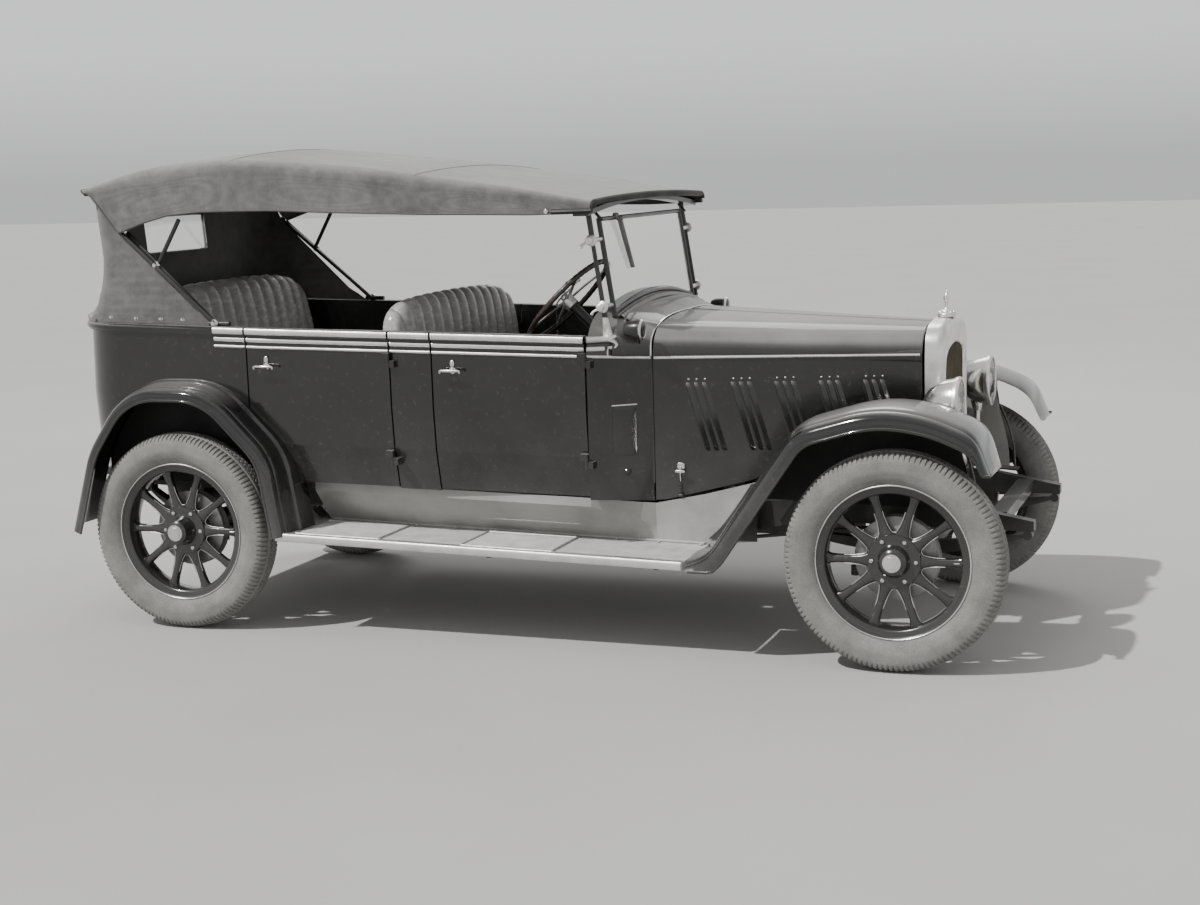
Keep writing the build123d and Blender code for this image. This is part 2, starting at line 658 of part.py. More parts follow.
# x, top edge's distance from the middle and height, height of the knee, knee's distance, height of the foot
apron_stations = [(board_rear + 80, apron_top_y, floor_top, apron_knee_z, apron_top_y, apron_seat),
                  (door_front, apron_top_y, floor_top, apron_knee_z, apron_top_y, apron_seat),
                  (-931, 486, 520, 435, 474, apron_seat),
                  (-752, 458, 558, 435, apron_y, apron_seat),
                  (-557, 448, 612, 455, apron_y, 395)]


def apron_section(x, top_y, top_z, knee_z, knee_y, foot_z):
    """Sheet from under the body down to a knee, and from there to its foot."""
    outer = [(top_y, top_z), (knee_y, knee_z), (apron_y, foot_z)]
    inner = [(y - apron_sheet, z) for y, z in reversed(outer)]
    return make_face(Polyline([(x, -y, z) for y, z in outer + inner], close=True))


apron = None
for first, second in zip(apron_stations, apron_stations[1:]):
    length = loft([apron_section(*first), apron_section(*second)], ruled=True)
    apron = length if apron is None else apron + length
apron = raked(apron)
save(apron + flipped(apron), "valances")

dash = inner_volume(cowl_nose, cowl_tail, wall + clearance) & block(-1125, -1113, -700, 700, 960, 1400)
save(dash - column_hole, "dashboard")


# Radiator shell with its core behind an arched opening, and a plain turned cap
def radiator_face(inset, x):
    half, low, top = radiator_half - inset, radiator_base + inset, radiator_top - inset
    shoulder = radiator_shoulder - inset / 2
    knee = (half - 62, top - 22)
    edge = [Line((x, -half, low), (x, -half, shoulder)),
            ThreePointArc((x, -half, shoulder), (x, -half + 16, (shoulder + top) / 2 + 12), (x, -knee[0], knee[1])),
            ThreePointArc((x, -knee[0], knee[1]), (x, 0, top), (x, knee[0], knee[1])),
            ThreePointArc((x, knee[0], knee[1]), (x, half - 16, (shoulder + top) / 2 + 12), (x, half, shoulder)),
            Line((x, half, shoulder), (x, half, low)),
            Line((x, half, low), (x, -half, low))]
    return make_face(edge)


depth = radiator_front - radiator_back
radiator = extrude(radiator_face(0, radiator_back), amount=depth, dir=(1, 0, 0))
radiator -= extrude(radiator_face(46, radiator_back - 1), amount=depth + 2, dir=(1, 0, 0))
radiator += rod(ridge_rear, ridge_nose, 4)
save(radiator, "radiator_shell")
core = extrude(radiator_face(46 + clearance, radiator_back + 6), amount=depth - 24, dir=(1, 0, 0))
save(core, "radiator_core")

# radius, height above the shell
cap_outline = [(0, 0), (34, 0), (34, 14), (24, 22), (9, 28), (6, 52), (12, 66), (12, 78), (5, 96), (0, 98)]
cap = revolve(make_face(Polyline([(r, 0, z) for r, z in cap_outline], close=True)), axis=Axis.Z)
save(Pos((radiator_back + radiator_front) / 2, 0, radiator_top + clearance) * cap, "radiator_cap")


# Lamps
def headlamp():
    # distance back from the rim, radius
    shares = [(0, 0), (0, 1), (0.15, 1), (0.17, 0.91), (0.53, 0.75), (0.83, 0.46), (0.98, 0.18), (1, 0)]
    outline = [(back * lamp_depth, r * lamp_radius) for back, r in shares]
    face = make_face(Polyline([(-back, 0, r) for back, r in outline], close=True))
    return revolve(face, axis=Axis.X)


lamp_place = Pos(lamp_x, -lamp_y, lamp_z)
lamp = lamp_place * headlamp()
lamp_post_x = lamp_x - 64
lamp_post_y = rail_y - 13
lamp_foot = raked_z(lamp_post_x - 20, 565) + clearance
lamp += rod((lamp_post_x, -lamp_post_y, lamp_foot), (lamp_post_x, -lamp_post_y, lamp_z - 60), 13)
lamp += rod((lamp_post_x, -lamp_post_y, lamp_foot), (lamp_post_x, -lamp_post_y, lamp_foot + 10), 20)
save(lamp + flipped(lamp), "headlamps")
side_lamp_place = Vector(cowl_front - 40, -(body_half_front - 87), 1165)
side_lamp = Pos(side_lamp_place) * Rot(0, 90, 0) * Cone(24, 36, 76)
side_lamp += rod(side_lamp_place, side_lamp_place + Vector(0, 75, -75), 9)
side_lamp -= Pos(0, 0, clearance) * cowl_solid
save(side_lamp + flipped(side_lamp), "cowl_lamps")

# Seats
seat_low = sill_height
front_cushion = raked(block(-1880, -1440, -520, 520, seat_low, 862))
front_back = raked(side_plate([(-1893, seat_low), (-1883, 866), (-1925, 1218), (-2010, 1218), (-1985, seat_low)], -572, 572))
rear_cushion = raked(block(-2850, -2410, -520, 520, seat_low, 862))
rear_back = raked(side_plate([(-2880, seat_low), (-2862, 866), (-2950, 1250), (-3050, 1250), (-3000, seat_low)], -560, 560))
save(front_cushion, "front_seat_cushion")
save(front_back, "front_seat_back")
save(rear_cushion, "rear_seat_cushion")
save(rear_back, "rear_seat_back")

# Hood: roof, back with its window, and the irons and bows that carry them
roof_line = [(-1092, 1650), (-1420, 1715), (-2080, 1818), (-2560, 1868), (-2960, 1842), (-3246, 1762)]
roof_radii = [3000, 3000, 2500, 1500]
roof_wall = 12
roof_half = 662
roof_drop = 42
flap = 190


roof_path = FilletPolyline([(x, 0, z) for x, z in roof_line], radius=roof_radii)
roof_start = Plane(origin=roof_path @ 0, z_dir=roof_path % 0, x_dir=(0, 1, 0))
roof_sign = -1 if roof_start.y_dir.Z > 0 else 1


def roof_point(y, sunk):
    return roof_start.from_local_coords((y, roof_sign * sunk, 0))


def roof_skin():
    inner = roof_half - roof_wall
    edge = [ThreePointArc(roof_point(-roof_half, roof_drop), roof_point(0, 0), roof_point(roof_half, roof_drop)),
            Line(roof_point(roof_half, roof_drop), roof_point(roof_half, flap)),
            Line(roof_point(roof_half, flap), roof_point(inner, flap)),
            Line(roof_point(inner, flap), roof_point(inner, roof_drop + roof_wall)),
            ThreePointArc(roof_point(inner, roof_drop + roof_wall), roof_point(0, roof_wall),
                          roof_point(-inner, roof_drop + roof_wall)),
            Line(roof_point(-inner, roof_drop + roof_wall), roof_point(-inner, flap)),
            Line(roof_point(-inner, flap), roof_point(-roof_half, flap)),
            Line(roof_point(-roof_half, flap), roof_point(-roof_half, roof_drop))]
    return sweep(make_face(edge), path=roof_path)


def above_roof_lining():
    """Thick band that starts just under the roof's inner face, to trim what carries it."""
    low = roof_wall + clearance
    inner = roof_half - roof_wall
    edge = [ThreePointArc(roof_point(-inner, roof_drop + low), roof_point(0, low), roof_point(inner, roof_drop + low)),
            Line(roof_point(inner, roof_drop + low), roof_point(inner, -120)),
            Line(roof_point(inner, -120), roof_point(-inner, -120)),
            Line(roof_point(-inner, -120), roof_point(-inner, roof_drop + low))]
    return sweep(make_face(edge), path=roof_path)


lining = above_roof_lining()
roof_lower = [(-1050, 1592), (-1332, 1588), (-1770, 1598), (-2122, 1611), (-2407, 1624), (-2689, 1625),
              (-2850, 1614), (-2958, 1588), (-3084, 1548), (-3240, 1735), (-3400, 1735), (-3400, 1300), (-1050, 1300)]
roof = roof_skin() - side_plate(roof_lower, -800, 800)
save(roof, "hood_roof")

curtain_foot = belt_height + 2
quarter = [(-2700, belt_height + 37), (-3092, 1560), (-3200, 1700), (-3228, 1742), (-3206, 1450), (-3212, 1390),
           (-3250, 1270), (-3330, belt_height + 58), (-3330, curtain_foot), (-2700, curtain_foot)]
curtain_wall = 12
curtain_half = 645
inner_quarter = [(-2600, 1100), (-2600, 1900), (-3216, 1900), (-3194, 1450), (-3200, 1392),
                 (-3240, 1278), (-3316, 1212), (-3316, 1100)]


def rounded_plan(half, back, radius):
    outline = RectangleRounded(2 * (abs(back) - 2000), 2 * half, radius)
    return Pos(-2000, 0, 1100) * extrude(outline, amount=800)


curtain = side_plate(quarter, -curtain_half, curtain_half) & rounded_plan(curtain_half, -3330, 150)
hollow = side_plate(inner_quarter, -curtain_half, curtain_half)
hollow &= rounded_plan(curtain_half - curtain_wall, -3330 + curtain_wall, 138)
curtain -= hollow
window_side = (-285, 175)
window_low = 1452
window_rise = 150


def window_plate(gap, front, back):
    """Upright plate in the back curtain's window, at two depths behind the curtain's outside."""
    low, high = window_low + gap, window_low + window_rise - gap
    slope = (quarter[3][0] - quarter[4][0]) / (quarter[3][1] - quarter[4][1])
    x_low, x_high = (quarter[4][0] + slope * (z - quarter[4][1]) for z in (low, high))
    outline = [(x_low - front, low), (x_high - front, high), (x_high + back, high), (x_low + back, low)]
    return side_plate(outline, window_side[0] + gap, window_side[1] - gap)


curtain -= window_plate(0, 60, 60)
body_top = raked(block(-3500, -2500, -800, 800, 900, belt_height + clearance))
curtain -= body_top + lining
save(curtain, "hood_back")
save(window_plate(clearance, -3, 6), "rear_window")

iron_foot = raked_z(-2700, belt_height) + 9 + clearance
irons = rod((-2662, -662, iron_foot), (-3078, -618, 1560), 8)
irons += rod((-2925, -636, 1424), (-2822, -630, 1600), 6)
irons += rod((-2600, -664, iron_foot), (-2690, -662, iron_foot), 9)
hood_frame = irons + flipped(irons)


def bow(x, top, width, depth):
    end = roof_half - roof_wall - 3
    path = ThreePointArc((x, -end, top - roof_drop), (x, 0, top), (x, end, top - roof_drop))
    start = Plane(origin=path @ 0, z_dir=path % 0, x_dir=(1, 0, 0))
    return sweep(start * Rectangle(width, depth), path=path)


header = bow(-1142, 1636, 60, 26)
bows = bow(-2560, 1842, 26, 20) + bow(-1800, 1754, 26, 20) + header
save(hood_frame + bows - lining, "hood_frame")

# Windscreen
post_y = body_half_front - 76
post_foot = (-1085, -post_y, 1158)
post_head = (-1149, -post_y + 4, 1600)
glass_low = 1186              # lowest point of the frame, at its corners
glass_high = 1570
glass_half = body_half_front - 148
lean = (post_head[0] - post_foot[0]) / (post_head[2] - post_foot[2])
screen = rod(post_foot, post_head, 11)
for z in (1235, 1495):
    x = post_foot[0] + lean * (z - post_foot[2])
    screen += rod((x + 6, -post_y - 10, z), (x + 6, -glass_half + 6, z), 9)
screen += Pos(-1081, -post_y, 1150) * Cylinder(20, 40)
screen -= Pos(0, 0, clearance) * cowl_solid
screen -= Pos(0, 0, -clearance) * header
screen += flipped(screen)
tilt = math.degrees(math.atan(-lean))
pane_place = Pos(post_foot[0] + lean * (glass_low - post_foot[2]) + 8, 0, glass_low) * Rot(0, -tilt, 0)
pane_height = (glass_high - glass_low) / math.cos(math.radians(tilt))
surround = 15
bottom_rail = 22              # height of the arched rail that follows the scuttle
pane_frame = pane_place * block(-7, 7, -glass_half, glass_half, 0, pane_height)
opening = pane_place * block(-8, 8, -glass_half + surround, glass_half - surround, surround, pane_height - surround)
pane_frame -= opening - Pos(0, 0, bottom_rail) * cowl_solid
screen += pane_frame - Pos(0, 0, clearance) * cowl_solid
save(screen, "windscreen_frame")
edge = surround + clearance
pane = pane_place * block(-3, 3, -glass_half + edge, glass_half - edge, edge, pane_height - edge)
save(pane - Pos(0, 0, bottom_rail + clearance) * cowl_solid, "windscreen_glass")
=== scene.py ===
# An open touring car with its hood up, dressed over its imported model.
import math

import bpy
import bmesh
import numpy as np
from mathutils import Matrix


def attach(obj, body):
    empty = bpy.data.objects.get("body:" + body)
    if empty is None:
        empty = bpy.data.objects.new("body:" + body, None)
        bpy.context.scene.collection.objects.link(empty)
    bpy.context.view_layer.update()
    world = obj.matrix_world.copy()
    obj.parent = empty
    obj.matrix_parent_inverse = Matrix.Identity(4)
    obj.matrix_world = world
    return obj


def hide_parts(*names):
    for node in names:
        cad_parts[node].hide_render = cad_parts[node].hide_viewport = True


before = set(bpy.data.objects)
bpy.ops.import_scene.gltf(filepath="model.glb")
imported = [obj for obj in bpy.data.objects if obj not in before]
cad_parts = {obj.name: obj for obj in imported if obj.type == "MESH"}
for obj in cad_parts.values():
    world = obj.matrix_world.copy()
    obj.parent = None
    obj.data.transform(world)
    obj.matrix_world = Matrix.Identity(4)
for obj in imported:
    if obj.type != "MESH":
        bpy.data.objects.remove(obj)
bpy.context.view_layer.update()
frontAxle = 1.456             # metres from the origin forward to the front axle
wheelbase = 2.82
print("model loaded:", len(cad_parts), "nodes")

sides = {"right": -1, "left": 1}


def at(x, y, z):
    # Millimetres from the front axle's station, the middle and the ground, to metres in the frame.
    x, y, z = np.broadcast_arrays(np.asarray(x, float), np.asarray(y, float), np.asarray(z, float))
    return np.stack([x / 1000 + frontAxle, y / 1000, z / 1000], axis=-1)


# The body rises to the rear about this station
stance = {"lean": math.tan(math.radians(1.45)), "pivot": 1150}


def raked(x, level):
    return level - stance["lean"] * (np.asarray(x, float) + stance["pivot"])


def unit(v):
    return v / np.linalg.norm(v, axis=-1, keepdims=True)


def signedPower(t, n):
    return np.sign(t) * np.abs(t) ** n


# Shapes are (points, quads, other faces) and are joined before they become one object
def gridFaces(nu, nv, wrapU=False, wrapV=False):
    i, j = np.meshgrid(np.arange(nu if wrapU else nu - 1), np.arange(nv if wrapV else nv - 1), indexing="ij")
    i, j = i.ravel(), j.ravel()
    k, m = (i + 1) % nu, (j + 1) % nv
    return np.stack([i * nv + j, k * nv + j, k * nv + m, i * nv + m], axis=1)


def surface(points, wrapU=False, wrapV=False, caps=()):
    # A grid of points (rows, columns, 3); caps closes the first or last row with one face.
    nu, nv = points.shape[:2]
    ends = []
    if "first" in caps:
        ends.append(list(range(nv - 1, -1, -1)))
    if "last" in caps:
        ends.append(list(range((nu - 1) * nv, nu * nv)))
    return points.reshape(-1, 3), gridFaces(nu, nv, wrapU, wrapV), ends


def solid(points):
    # Rows that close round their columns, with a face on the first and on the last.
    return surface(points, wrapV=True, caps=("first", "last"))


def fullTurn(count):
    return np.linspace(0, 2 * math.pi, count, endpoint=False)


def joined(shapes):
    points, quads, others, start = [], [], [], 0
    for p, q, o in shapes:
        points.append(p)
        quads.append(q + start)
        others += [[n + start for n in face] for face in o]
        start += len(p)
    return np.concatenate(points), np.concatenate(quads), others


def mirrored(shape):
    p, q, o = shape
    return p * np.array([1, -1, 1]), q[:, ::-1], [face[::-1] for face in o]


def bothSides(shape):
    return joined([shape, mirrored(shape)])


def piece(name, shape, material, body="root", slot=None, replaces=(), smooth=True, outward=True, weld=True):
    points, quads, others = shape
    mesh = bpy.data.meshes.new(name)
    mesh.from_pydata(points.tolist(), [], quads.tolist() + others)
    if weld or outward:
        work = bmesh.new()
        work.from_mesh(mesh)
        bmesh.ops.remove_doubles(work, verts=work.verts, dist=1e-6)
        if outward:
            bmesh.ops.recalc_face_normals(work, faces=work.faces)
        work.to_mesh(mesh)
        work.free()
    mesh.polygons.foreach_set("use_smooth", [smooth] * len(mesh.polygons))
    mesh.update()
    obj = bpy.data.objects.new(name, mesh)
    bpy.context.scene.collection.objects.link(obj)
    mesh.materials.append(material)
    if smooth:
        mesh.set_sharp_from_angle(angle=math.radians(38))
    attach(obj, body)
    if replaces:
        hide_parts(*replaces)
    return obj


def rootPiece(name, shapes, finish, slot, *replaced, **options):
    # A piece of the body that doesn't move on its own, joined from a list of shapes.
    return piece(name, joined(shapes), finishes[finish], "root", slot, replaced, **options)


def rootPair(name, shapes, finish, slot, *replaced, **options):
    # The same with its mirror image on the left side.
    return rootPiece(name, [bothSides(joined(shapes))], finish, slot, *replaced, **options)


def smoothCurve(points, count):
    # Curve through a short list of points: each span is the cubic whose end slopes aim at the neighbours.
    p = np.asarray(points, float)
    ends = np.concatenate([[2 * p[0] - p[1]], p, [2 * p[-1] - p[-2]]])
    t = np.linspace(0, len(p) - 1 - 1e-9, count)
    i = t.astype(int)
    f = (t - i)[:, None]
    a, b, c, d = ends[i], ends[i + 1], ends[i + 2], ends[i + 3]
    return 0.5 * (2 * b + (c - a) * f + (2 * a - 5 * b + 4 * c - d) * f ** 2 + (3 * b - a - 3 * c + d)
                  * f ** 3)


def roundedLine(points, radii, step=18):
    # Straight runs joined by arcs of the given radii, as points a step apart.
    p = np.asarray(points, float)
    out = [p[0]]
    for k, radius in enumerate(radii):
        a, b, c = p[k], p[k + 1], p[k + 2]
        u, v = (a - b) / np.linalg.norm(a - b), (c - b) / np.linalg.norm(c - b)
        half = math.acos(np.clip(u @ v, -1, 1)) / 2
        cut = radius / math.tan(half)
        middle = b + (u + v) / np.linalg.norm(u + v) * radius / math.sin(half)
        start, end = b + u * cut - middle, b + v * cut - middle
        turn = math.pi - 2 * half
        n = max(3, int(turn * radius / step))
        t = np.linspace(0, 1, n)[:, None]
        out += list(middle + (np.sin((1 - t) * turn) * start + np.sin(t * turn) * end) / math.sin(turn))
    out.append(p[-1])
    out = np.array(out)
    run = np.concatenate([[0], np.cumsum(np.linalg.norm(np.diff(out, axis=0), axis=1))])
    keep = np.concatenate([[True], np.diff(run) > 1e-6])
    run, out = run[keep], out[keep]
    s = np.linspace(0, run[-1], max(4, int(run[-1] / step)))
    return np.stack([np.interp(s, run, out[:, n]) for n in range(out.shape[1])], axis=1)


def frames(path, closed=False):
    # Tangent and two cross directions at each point, turned as little as possible along the path.
    if closed:
        tangent = np.roll(path, -1, 0) - np.roll(path, 1, 0)
    else:
        tangent = np.gradient(path, axis=0)
    tangent /= np.linalg.norm(tangent, axis=1)[:, None]
    first = np.cross(tangent[0], [0, 0, 1.0] if abs(tangent[0][2]) < 0.9 else [1.0, 0, 0])
    across = np.empty_like(path)
    across[0] = first / np.linalg.norm(first)
    for k in range(1, len(path)):
        step = across[k - 1] - tangent[k] * (across[k - 1] @ tangent[k])
        across[k] = step / np.linalg.norm(step)
    return tangent, across, np.cross(tangent, across)


def tube(path, radius, around=12, closed=False, flatten=1.0):
    # Circle of a radius that may change along the path, closed by flat ends.
    path = np.asarray(path, float)
    tangent, across, up = frames(path, closed)
    angle = fullTurn(around)
    r = np.broadcast_to(np.asarray(radius, float), (len(path),))[:, None, None]
    cosine, sine = np.cos(angle)[None, :, None], np.sin(angle)[None, :, None]
    ring = across[:, None] * cosine + up[:, None] * sine * flatten
    return surface(path[:, None] + ring * r, wrapU=closed, wrapV=True, caps=() if closed
                   else ("first", "last"))


def straight(start, end, radius, count=2, around=14):
    return tube(np.linspace(start, end, count), radius, around)


def lathe(outline, centre, axis, around=48, arc=(0, 2 * math.pi)):
    # Outline of (radius, distance along the axis) turned about an axis through a centre.
    outline = np.asarray(outline, float)
    axis = unit(np.asarray(axis, float))
    side = unit(np.cross(axis, [0, 0, 1.0] if abs(axis[2]) < 0.9 else [1.0, 0, 0]))
    other = np.cross(axis, side)
    whole = abs(arc[1] - arc[0] - 2 * math.pi) < 1e-6
    angle = np.linspace(*arc, around, endpoint=not whole)
    ring = side[None] * np.cos(angle)[:, None] + other[None] * np.sin(angle)[:, None]
    points = np.asarray(centre) + ring[:, None] * outline[None, :, :1] + axis * outline[None, :, 1:]
    return surface(points, wrapU=whole)


def pillow(centre, size, square=0.35, around=20, up=10, turn=None):
    # Rounded block: signed powers of sine and cosine push a ball out towards its box.
    u = np.linspace(-math.pi / 2, math.pi / 2, up)[:, None]
    v = fullTurn(around)[None]
    wide = signedPower(np.cos(u), square)
    local = np.stack([wide * signedPower(np.cos(v), square), wide * signedPower(np.sin(v), square),
                      signedPower(np.sin(u), square) * np.ones_like(v)], axis=-1) * np.asarray(size) / 2
    if turn is not None:
        local = local @ np.asarray(turn).T
    return surface(np.asarray(centre) + local, wrapV=True)


def turned(angle, axis):
    return np.array(Matrix.Rotation(math.radians(angle), 3, axis))


def plateShape(outline, thickness, toPoint):
    # Flat plate: an outline of (a, b) points placed by toPoint(a, b, depth) at two depths.
    outline = np.asarray(outline, float)
    rows = np.stack([toPoint(outline[:, 0], outline[:, 1], d) for d in thickness])
    return solid(rows)


# Finishes
def setInputs(node, values):
    # Each input takes a constant or another node's output.
    for key, value in values.items():
        if isinstance(value, bpy.types.NodeSocket):
            node.id_data.links.new(value, node.inputs[key])
        else:
            node.inputs[key].default_value = value


def newNode(tree, kind, inputs=None, **settings):
    node = tree.nodes.new("ShaderNode" + kind)
    for key, value in settings.items():
        setattr(node, key, value)
    setInputs(node, inputs or {})
    return node


def newFinish(name):
    material = bpy.data.materials.new(name)
    material.use_nodes = True
    tree = material.node_tree
    return material, tree, tree.nodes["Principled BSDF"], newNode(tree, "TexCoord").outputs["Object"]


def noise(tree, where, scale, detail=6, rough=0.55, stretch=None):
    if stretch:
        where = newNode(tree, "Mapping", {"Vector": where, "Scale": stretch}).outputs["Vector"]
    texture = newNode(tree, "TexNoise", {"Vector": where, "Scale": scale, "Detail": detail,
            "Roughness": rough})
    return texture.outputs["Fac"]


def spread(tree, value, low, high, fromLow=0.0, fromHigh=1.0):
    node = newNode(tree, "MapRange", {"Value": value, "From Min": fromLow, "From Max": fromHigh,
            "To Min": low, "To Max": high})
    return node.outputs["Result"]


def combine(tree, kind, a, b):
    return newNode(tree, "Math", {0: a, 1: b}, operation=kind).outputs["Value"]


def plus(tree, a, b):
    return combine(tree, "ADD", a, b)


def times(tree, a, b):
    return combine(tree, "MULTIPLY", a, b)


def blendColours(tree, factor, first, second):
    first, second = ((*c, 1) if isinstance(c, tuple) else c for c in (first, second))
    return newNode(tree, "Mix", {"Factor": factor, "A": first, "B": second},
                   data_type="RGBA").outputs["Result"]


def dented(tree, shader, height, strength, distance):
    bump = newNode(tree, "Bump", {"Height": height, "Strength": strength, "Distance": distance})
    setInputs(shader, {"Normal": bump.outputs["Normal"]})


def heightOf(tree, where, low, high):
    # 1 at the low height, falling to 0 at the high one.
    level = newNode(tree, "SeparateXYZ", {"Vector": where}).outputs["Z"]
    return spread(tree, level, 1.0, 0.0, low, high)


def facingUp(tree, where, low, high):
    # 1 where the surface faces the sky, 0 where it stands upright or faces down.
    upward = newNode(tree, "SeparateXYZ", {"Vector": where.node.outputs["Normal"]}).outputs["Z"]
    return spread(tree, upward, 0.0, 1.0, low, high)


def paint(name, colour, rough=0.16, coat=0.6, dust=(0.30, 0.29, 0.27), dustTop=0.75, dustAmount=0.55,
          settled=0.25, upFrom=0.3, upTo=0.95):
    # Brushed coach enamel: faint brush waves, small marks, and road dust that thins out with height. Faces
    # that turn up also get a lighter film, partly settled dust and partly painted sheen for the light on the
    # tops.
    material, tree, shader, where = newFinish(name)
    cloud = noise(tree, where, 3.2, 8, 0.62)
    speck = noise(tree, where, 46, 5, 0.7)
    wave = noise(tree, where, 9, 3, 0.4, (1, 1, 2.6))
    low = heightOf(tree, where, 0.35, dustTop)
    dustAndSheen = times(tree, low, spread(tree, cloud, 0.05, dustAmount, 0.35, 0.72))
    dustAndSheen = plus(tree, dustAndSheen, spread(tree, speck, 0.0, 0.10, 0.58, 0.75))
    # Painted sheen and settled dust: upward faces blend towards the dust colour
    topDustAndSheen = times(tree, facingUp(tree, where, upFrom, upTo),
                 spread(tree, cloud, settled * 0.7, settled * 1.3, 0.3, 0.7))
    dustAndSheen = combine(tree, "MAXIMUM", dustAndSheen, topDustAndSheen)
    lighter = tuple(min(1, c * 1.35 + 0.004) for c in colour)
    base = blendColours(tree, spread(tree, cloud, 0, 1, 0.3, 0.75), colour, lighter)
    dull = plus(tree, spread(tree, cloud, rough * 0.8, rough * 1.5, 0.3, 0.7), times(tree, dustAndSheen, 0.9))
    setInputs(shader, {"Base Color": blendColours(tree, dustAndSheen, base, dust), "Roughness": dull,
                       "Coat Weight": coat, "Coat Roughness": 0.06})
    dented(tree, shader, plus(tree, times(tree, wave, 0.35), times(tree, speck, 0.03)), 0.25, 0.004)
    return material


def metal(name, colour, rough=0.2, dull=0.12, bump=0.08, metallic=1.0):
    material, tree, shader, where = newFinish(name)
    cloud = noise(tree, where, 14, 6, 0.6)
    fine = noise(tree, where, 160, 4, 0.6)
    darker = tuple(c * 0.72 for c in colour)
    setInputs(shader, {"Base Color": blendColours(tree, spread(tree, cloud, 0, 1, 0.3, 0.7), colour, darker),
                       "Roughness": spread(tree, times(tree, cloud, fine), rough - dull / 2, rough + dull,
            0.1, 0.45), "Metallic": metallic})
    dented(tree, shader, fine, bump, 0.0006)
    return material


def rubber(name, colour, dust, rough=0.86, dustAmount=0.6):
    material, tree, shader, where = newFinish(name)
    cloud = noise(tree, where, 11, 8, 0.65)
    grit = noise(tree, where, 240, 4, 0.7)
    factor = plus(tree, spread(tree, cloud, 0.25, dustAmount, 0.3, 0.7),
                  spread(tree, grit, -0.12, 0.2, 0.35, 0.7))
    setInputs(shader, {"Base Color": blendColours(tree, factor, colour, dust), "Roughness": rough,
                       "Specular IOR Level": 0.3})
    dented(tree, shader, grit, 0.35, 0.0012)
    return material


def leather(name, colour, rough=0.38):
    # Hide: cells of a crackle pattern for the grain, and creases from stretched noise.
    material, tree, shader, where = newFinish(name)
    grain = newNode(tree, "TexVoronoi", {"Vector": where, "Scale": 330}, feature="DISTANCE_TO_EDGE")
    crease = noise(tree, where, 22, 6, 0.6, (1, 1, 2.2))
    worn = tuple(c * 1.5 + 0.012 for c in colour)
    setInputs(shader, {"Base Color": blendColours(tree, spread(tree, crease, 0, 1, 0.45, 0.8), colour, worn),
                       "Roughness": spread(tree, crease, rough - 0.08, rough + 0.2, 0.3, 0.7),
                       "Coat Weight": 0.35, "Coat Roughness": 0.22})
    dented(tree, shader, plus(tree, spread(tree, grain.outputs["Distance"], 0, 0.5, 0, 0.12), crease), 0.5,
           0.0016)
    return material


def canvas(name, colour, pale, weave=520, stain=0.5):
    # Proofed duck: two crossed bands of fine waves for the threads, with clouds of fading and rain marks, and
    # faces that turn up lightened towards the pale colour as painted light.
    material, tree, shader, where = newFinish(name)
    threads = {"Vector": where, "Scale": weave, "Distortion": 0.7, "Detail": 2}
    cloth = times(tree, *(newNode(tree, "TexWave", threads, bands_direction=axis).outputs["Fac"]
                          for axis in "XY"))
    cloud = noise(tree, where, 2.3, 9, 0.66)
    marks = noise(tree, where, 17, 6, 0.7)
    factor = plus(tree, spread(tree, cloud, 0, stain, 0.3, 0.75), spread(tree, marks, -0.15, 0.22, 0.3, 0.7))
    # Painted light: upward faces lighten towards the pale colour
    factor = plus(tree, factor, times(tree, facingUp(tree, where, 0.4, 1.0), 0.55))
    base = blendColours(tree, factor, colour, pale)
    shade = blendColours(tree, spread(tree, cloth, 0.0, 0.35), base, tuple(c * 0.55 for c in colour))
    setInputs(shader, {"Base Color": shade, "Roughness": 0.9, "Sheen Weight": 0.25, "Sheen Roughness": 0.5})
    dented(tree, shader, plus(tree, cloth, times(tree, marks, 0.8)), 0.3, 0.0012)
    return material


def wood(name, colour, light, rough=0.35, run=(1, 9, 9)):
    material, tree, shader, where = newFinish(name)
    grain = noise(tree, where, 7, 8, 0.62, run)
    line = noise(tree, where, 40, 4, 0.6, run)
    streaks = spread(tree, times(tree, grain, line), 0, 1, 0.12, 0.42)
    setInputs(shader, {"Base Color": blendColours(tree, streaks, colour, light), "Coat Weight": 0.2,
                       "Roughness": spread(tree, grain, rough - 0.08, rough + 0.2, 0.3, 0.7)})
    dented(tree, shader, line, 0.2, 0.0012)
    return material


def clearPane(name, tint, rough=0.02):
    material, tree, shader, where = newFinish(name)
    smear = spread(tree, noise(tree, where, 8, 6, 0.6), rough, rough + 0.08, 0.45, 0.8)
    setInputs(shader, {"Base Color": (*tint, 1), "Roughness": smear, "Transmission Weight": 1.0, "IOR": 1.45})
    return material


finishes = {}


def addFinish(maker, name, *values, **options):
    finishes[name] = maker(name, *values, **options)


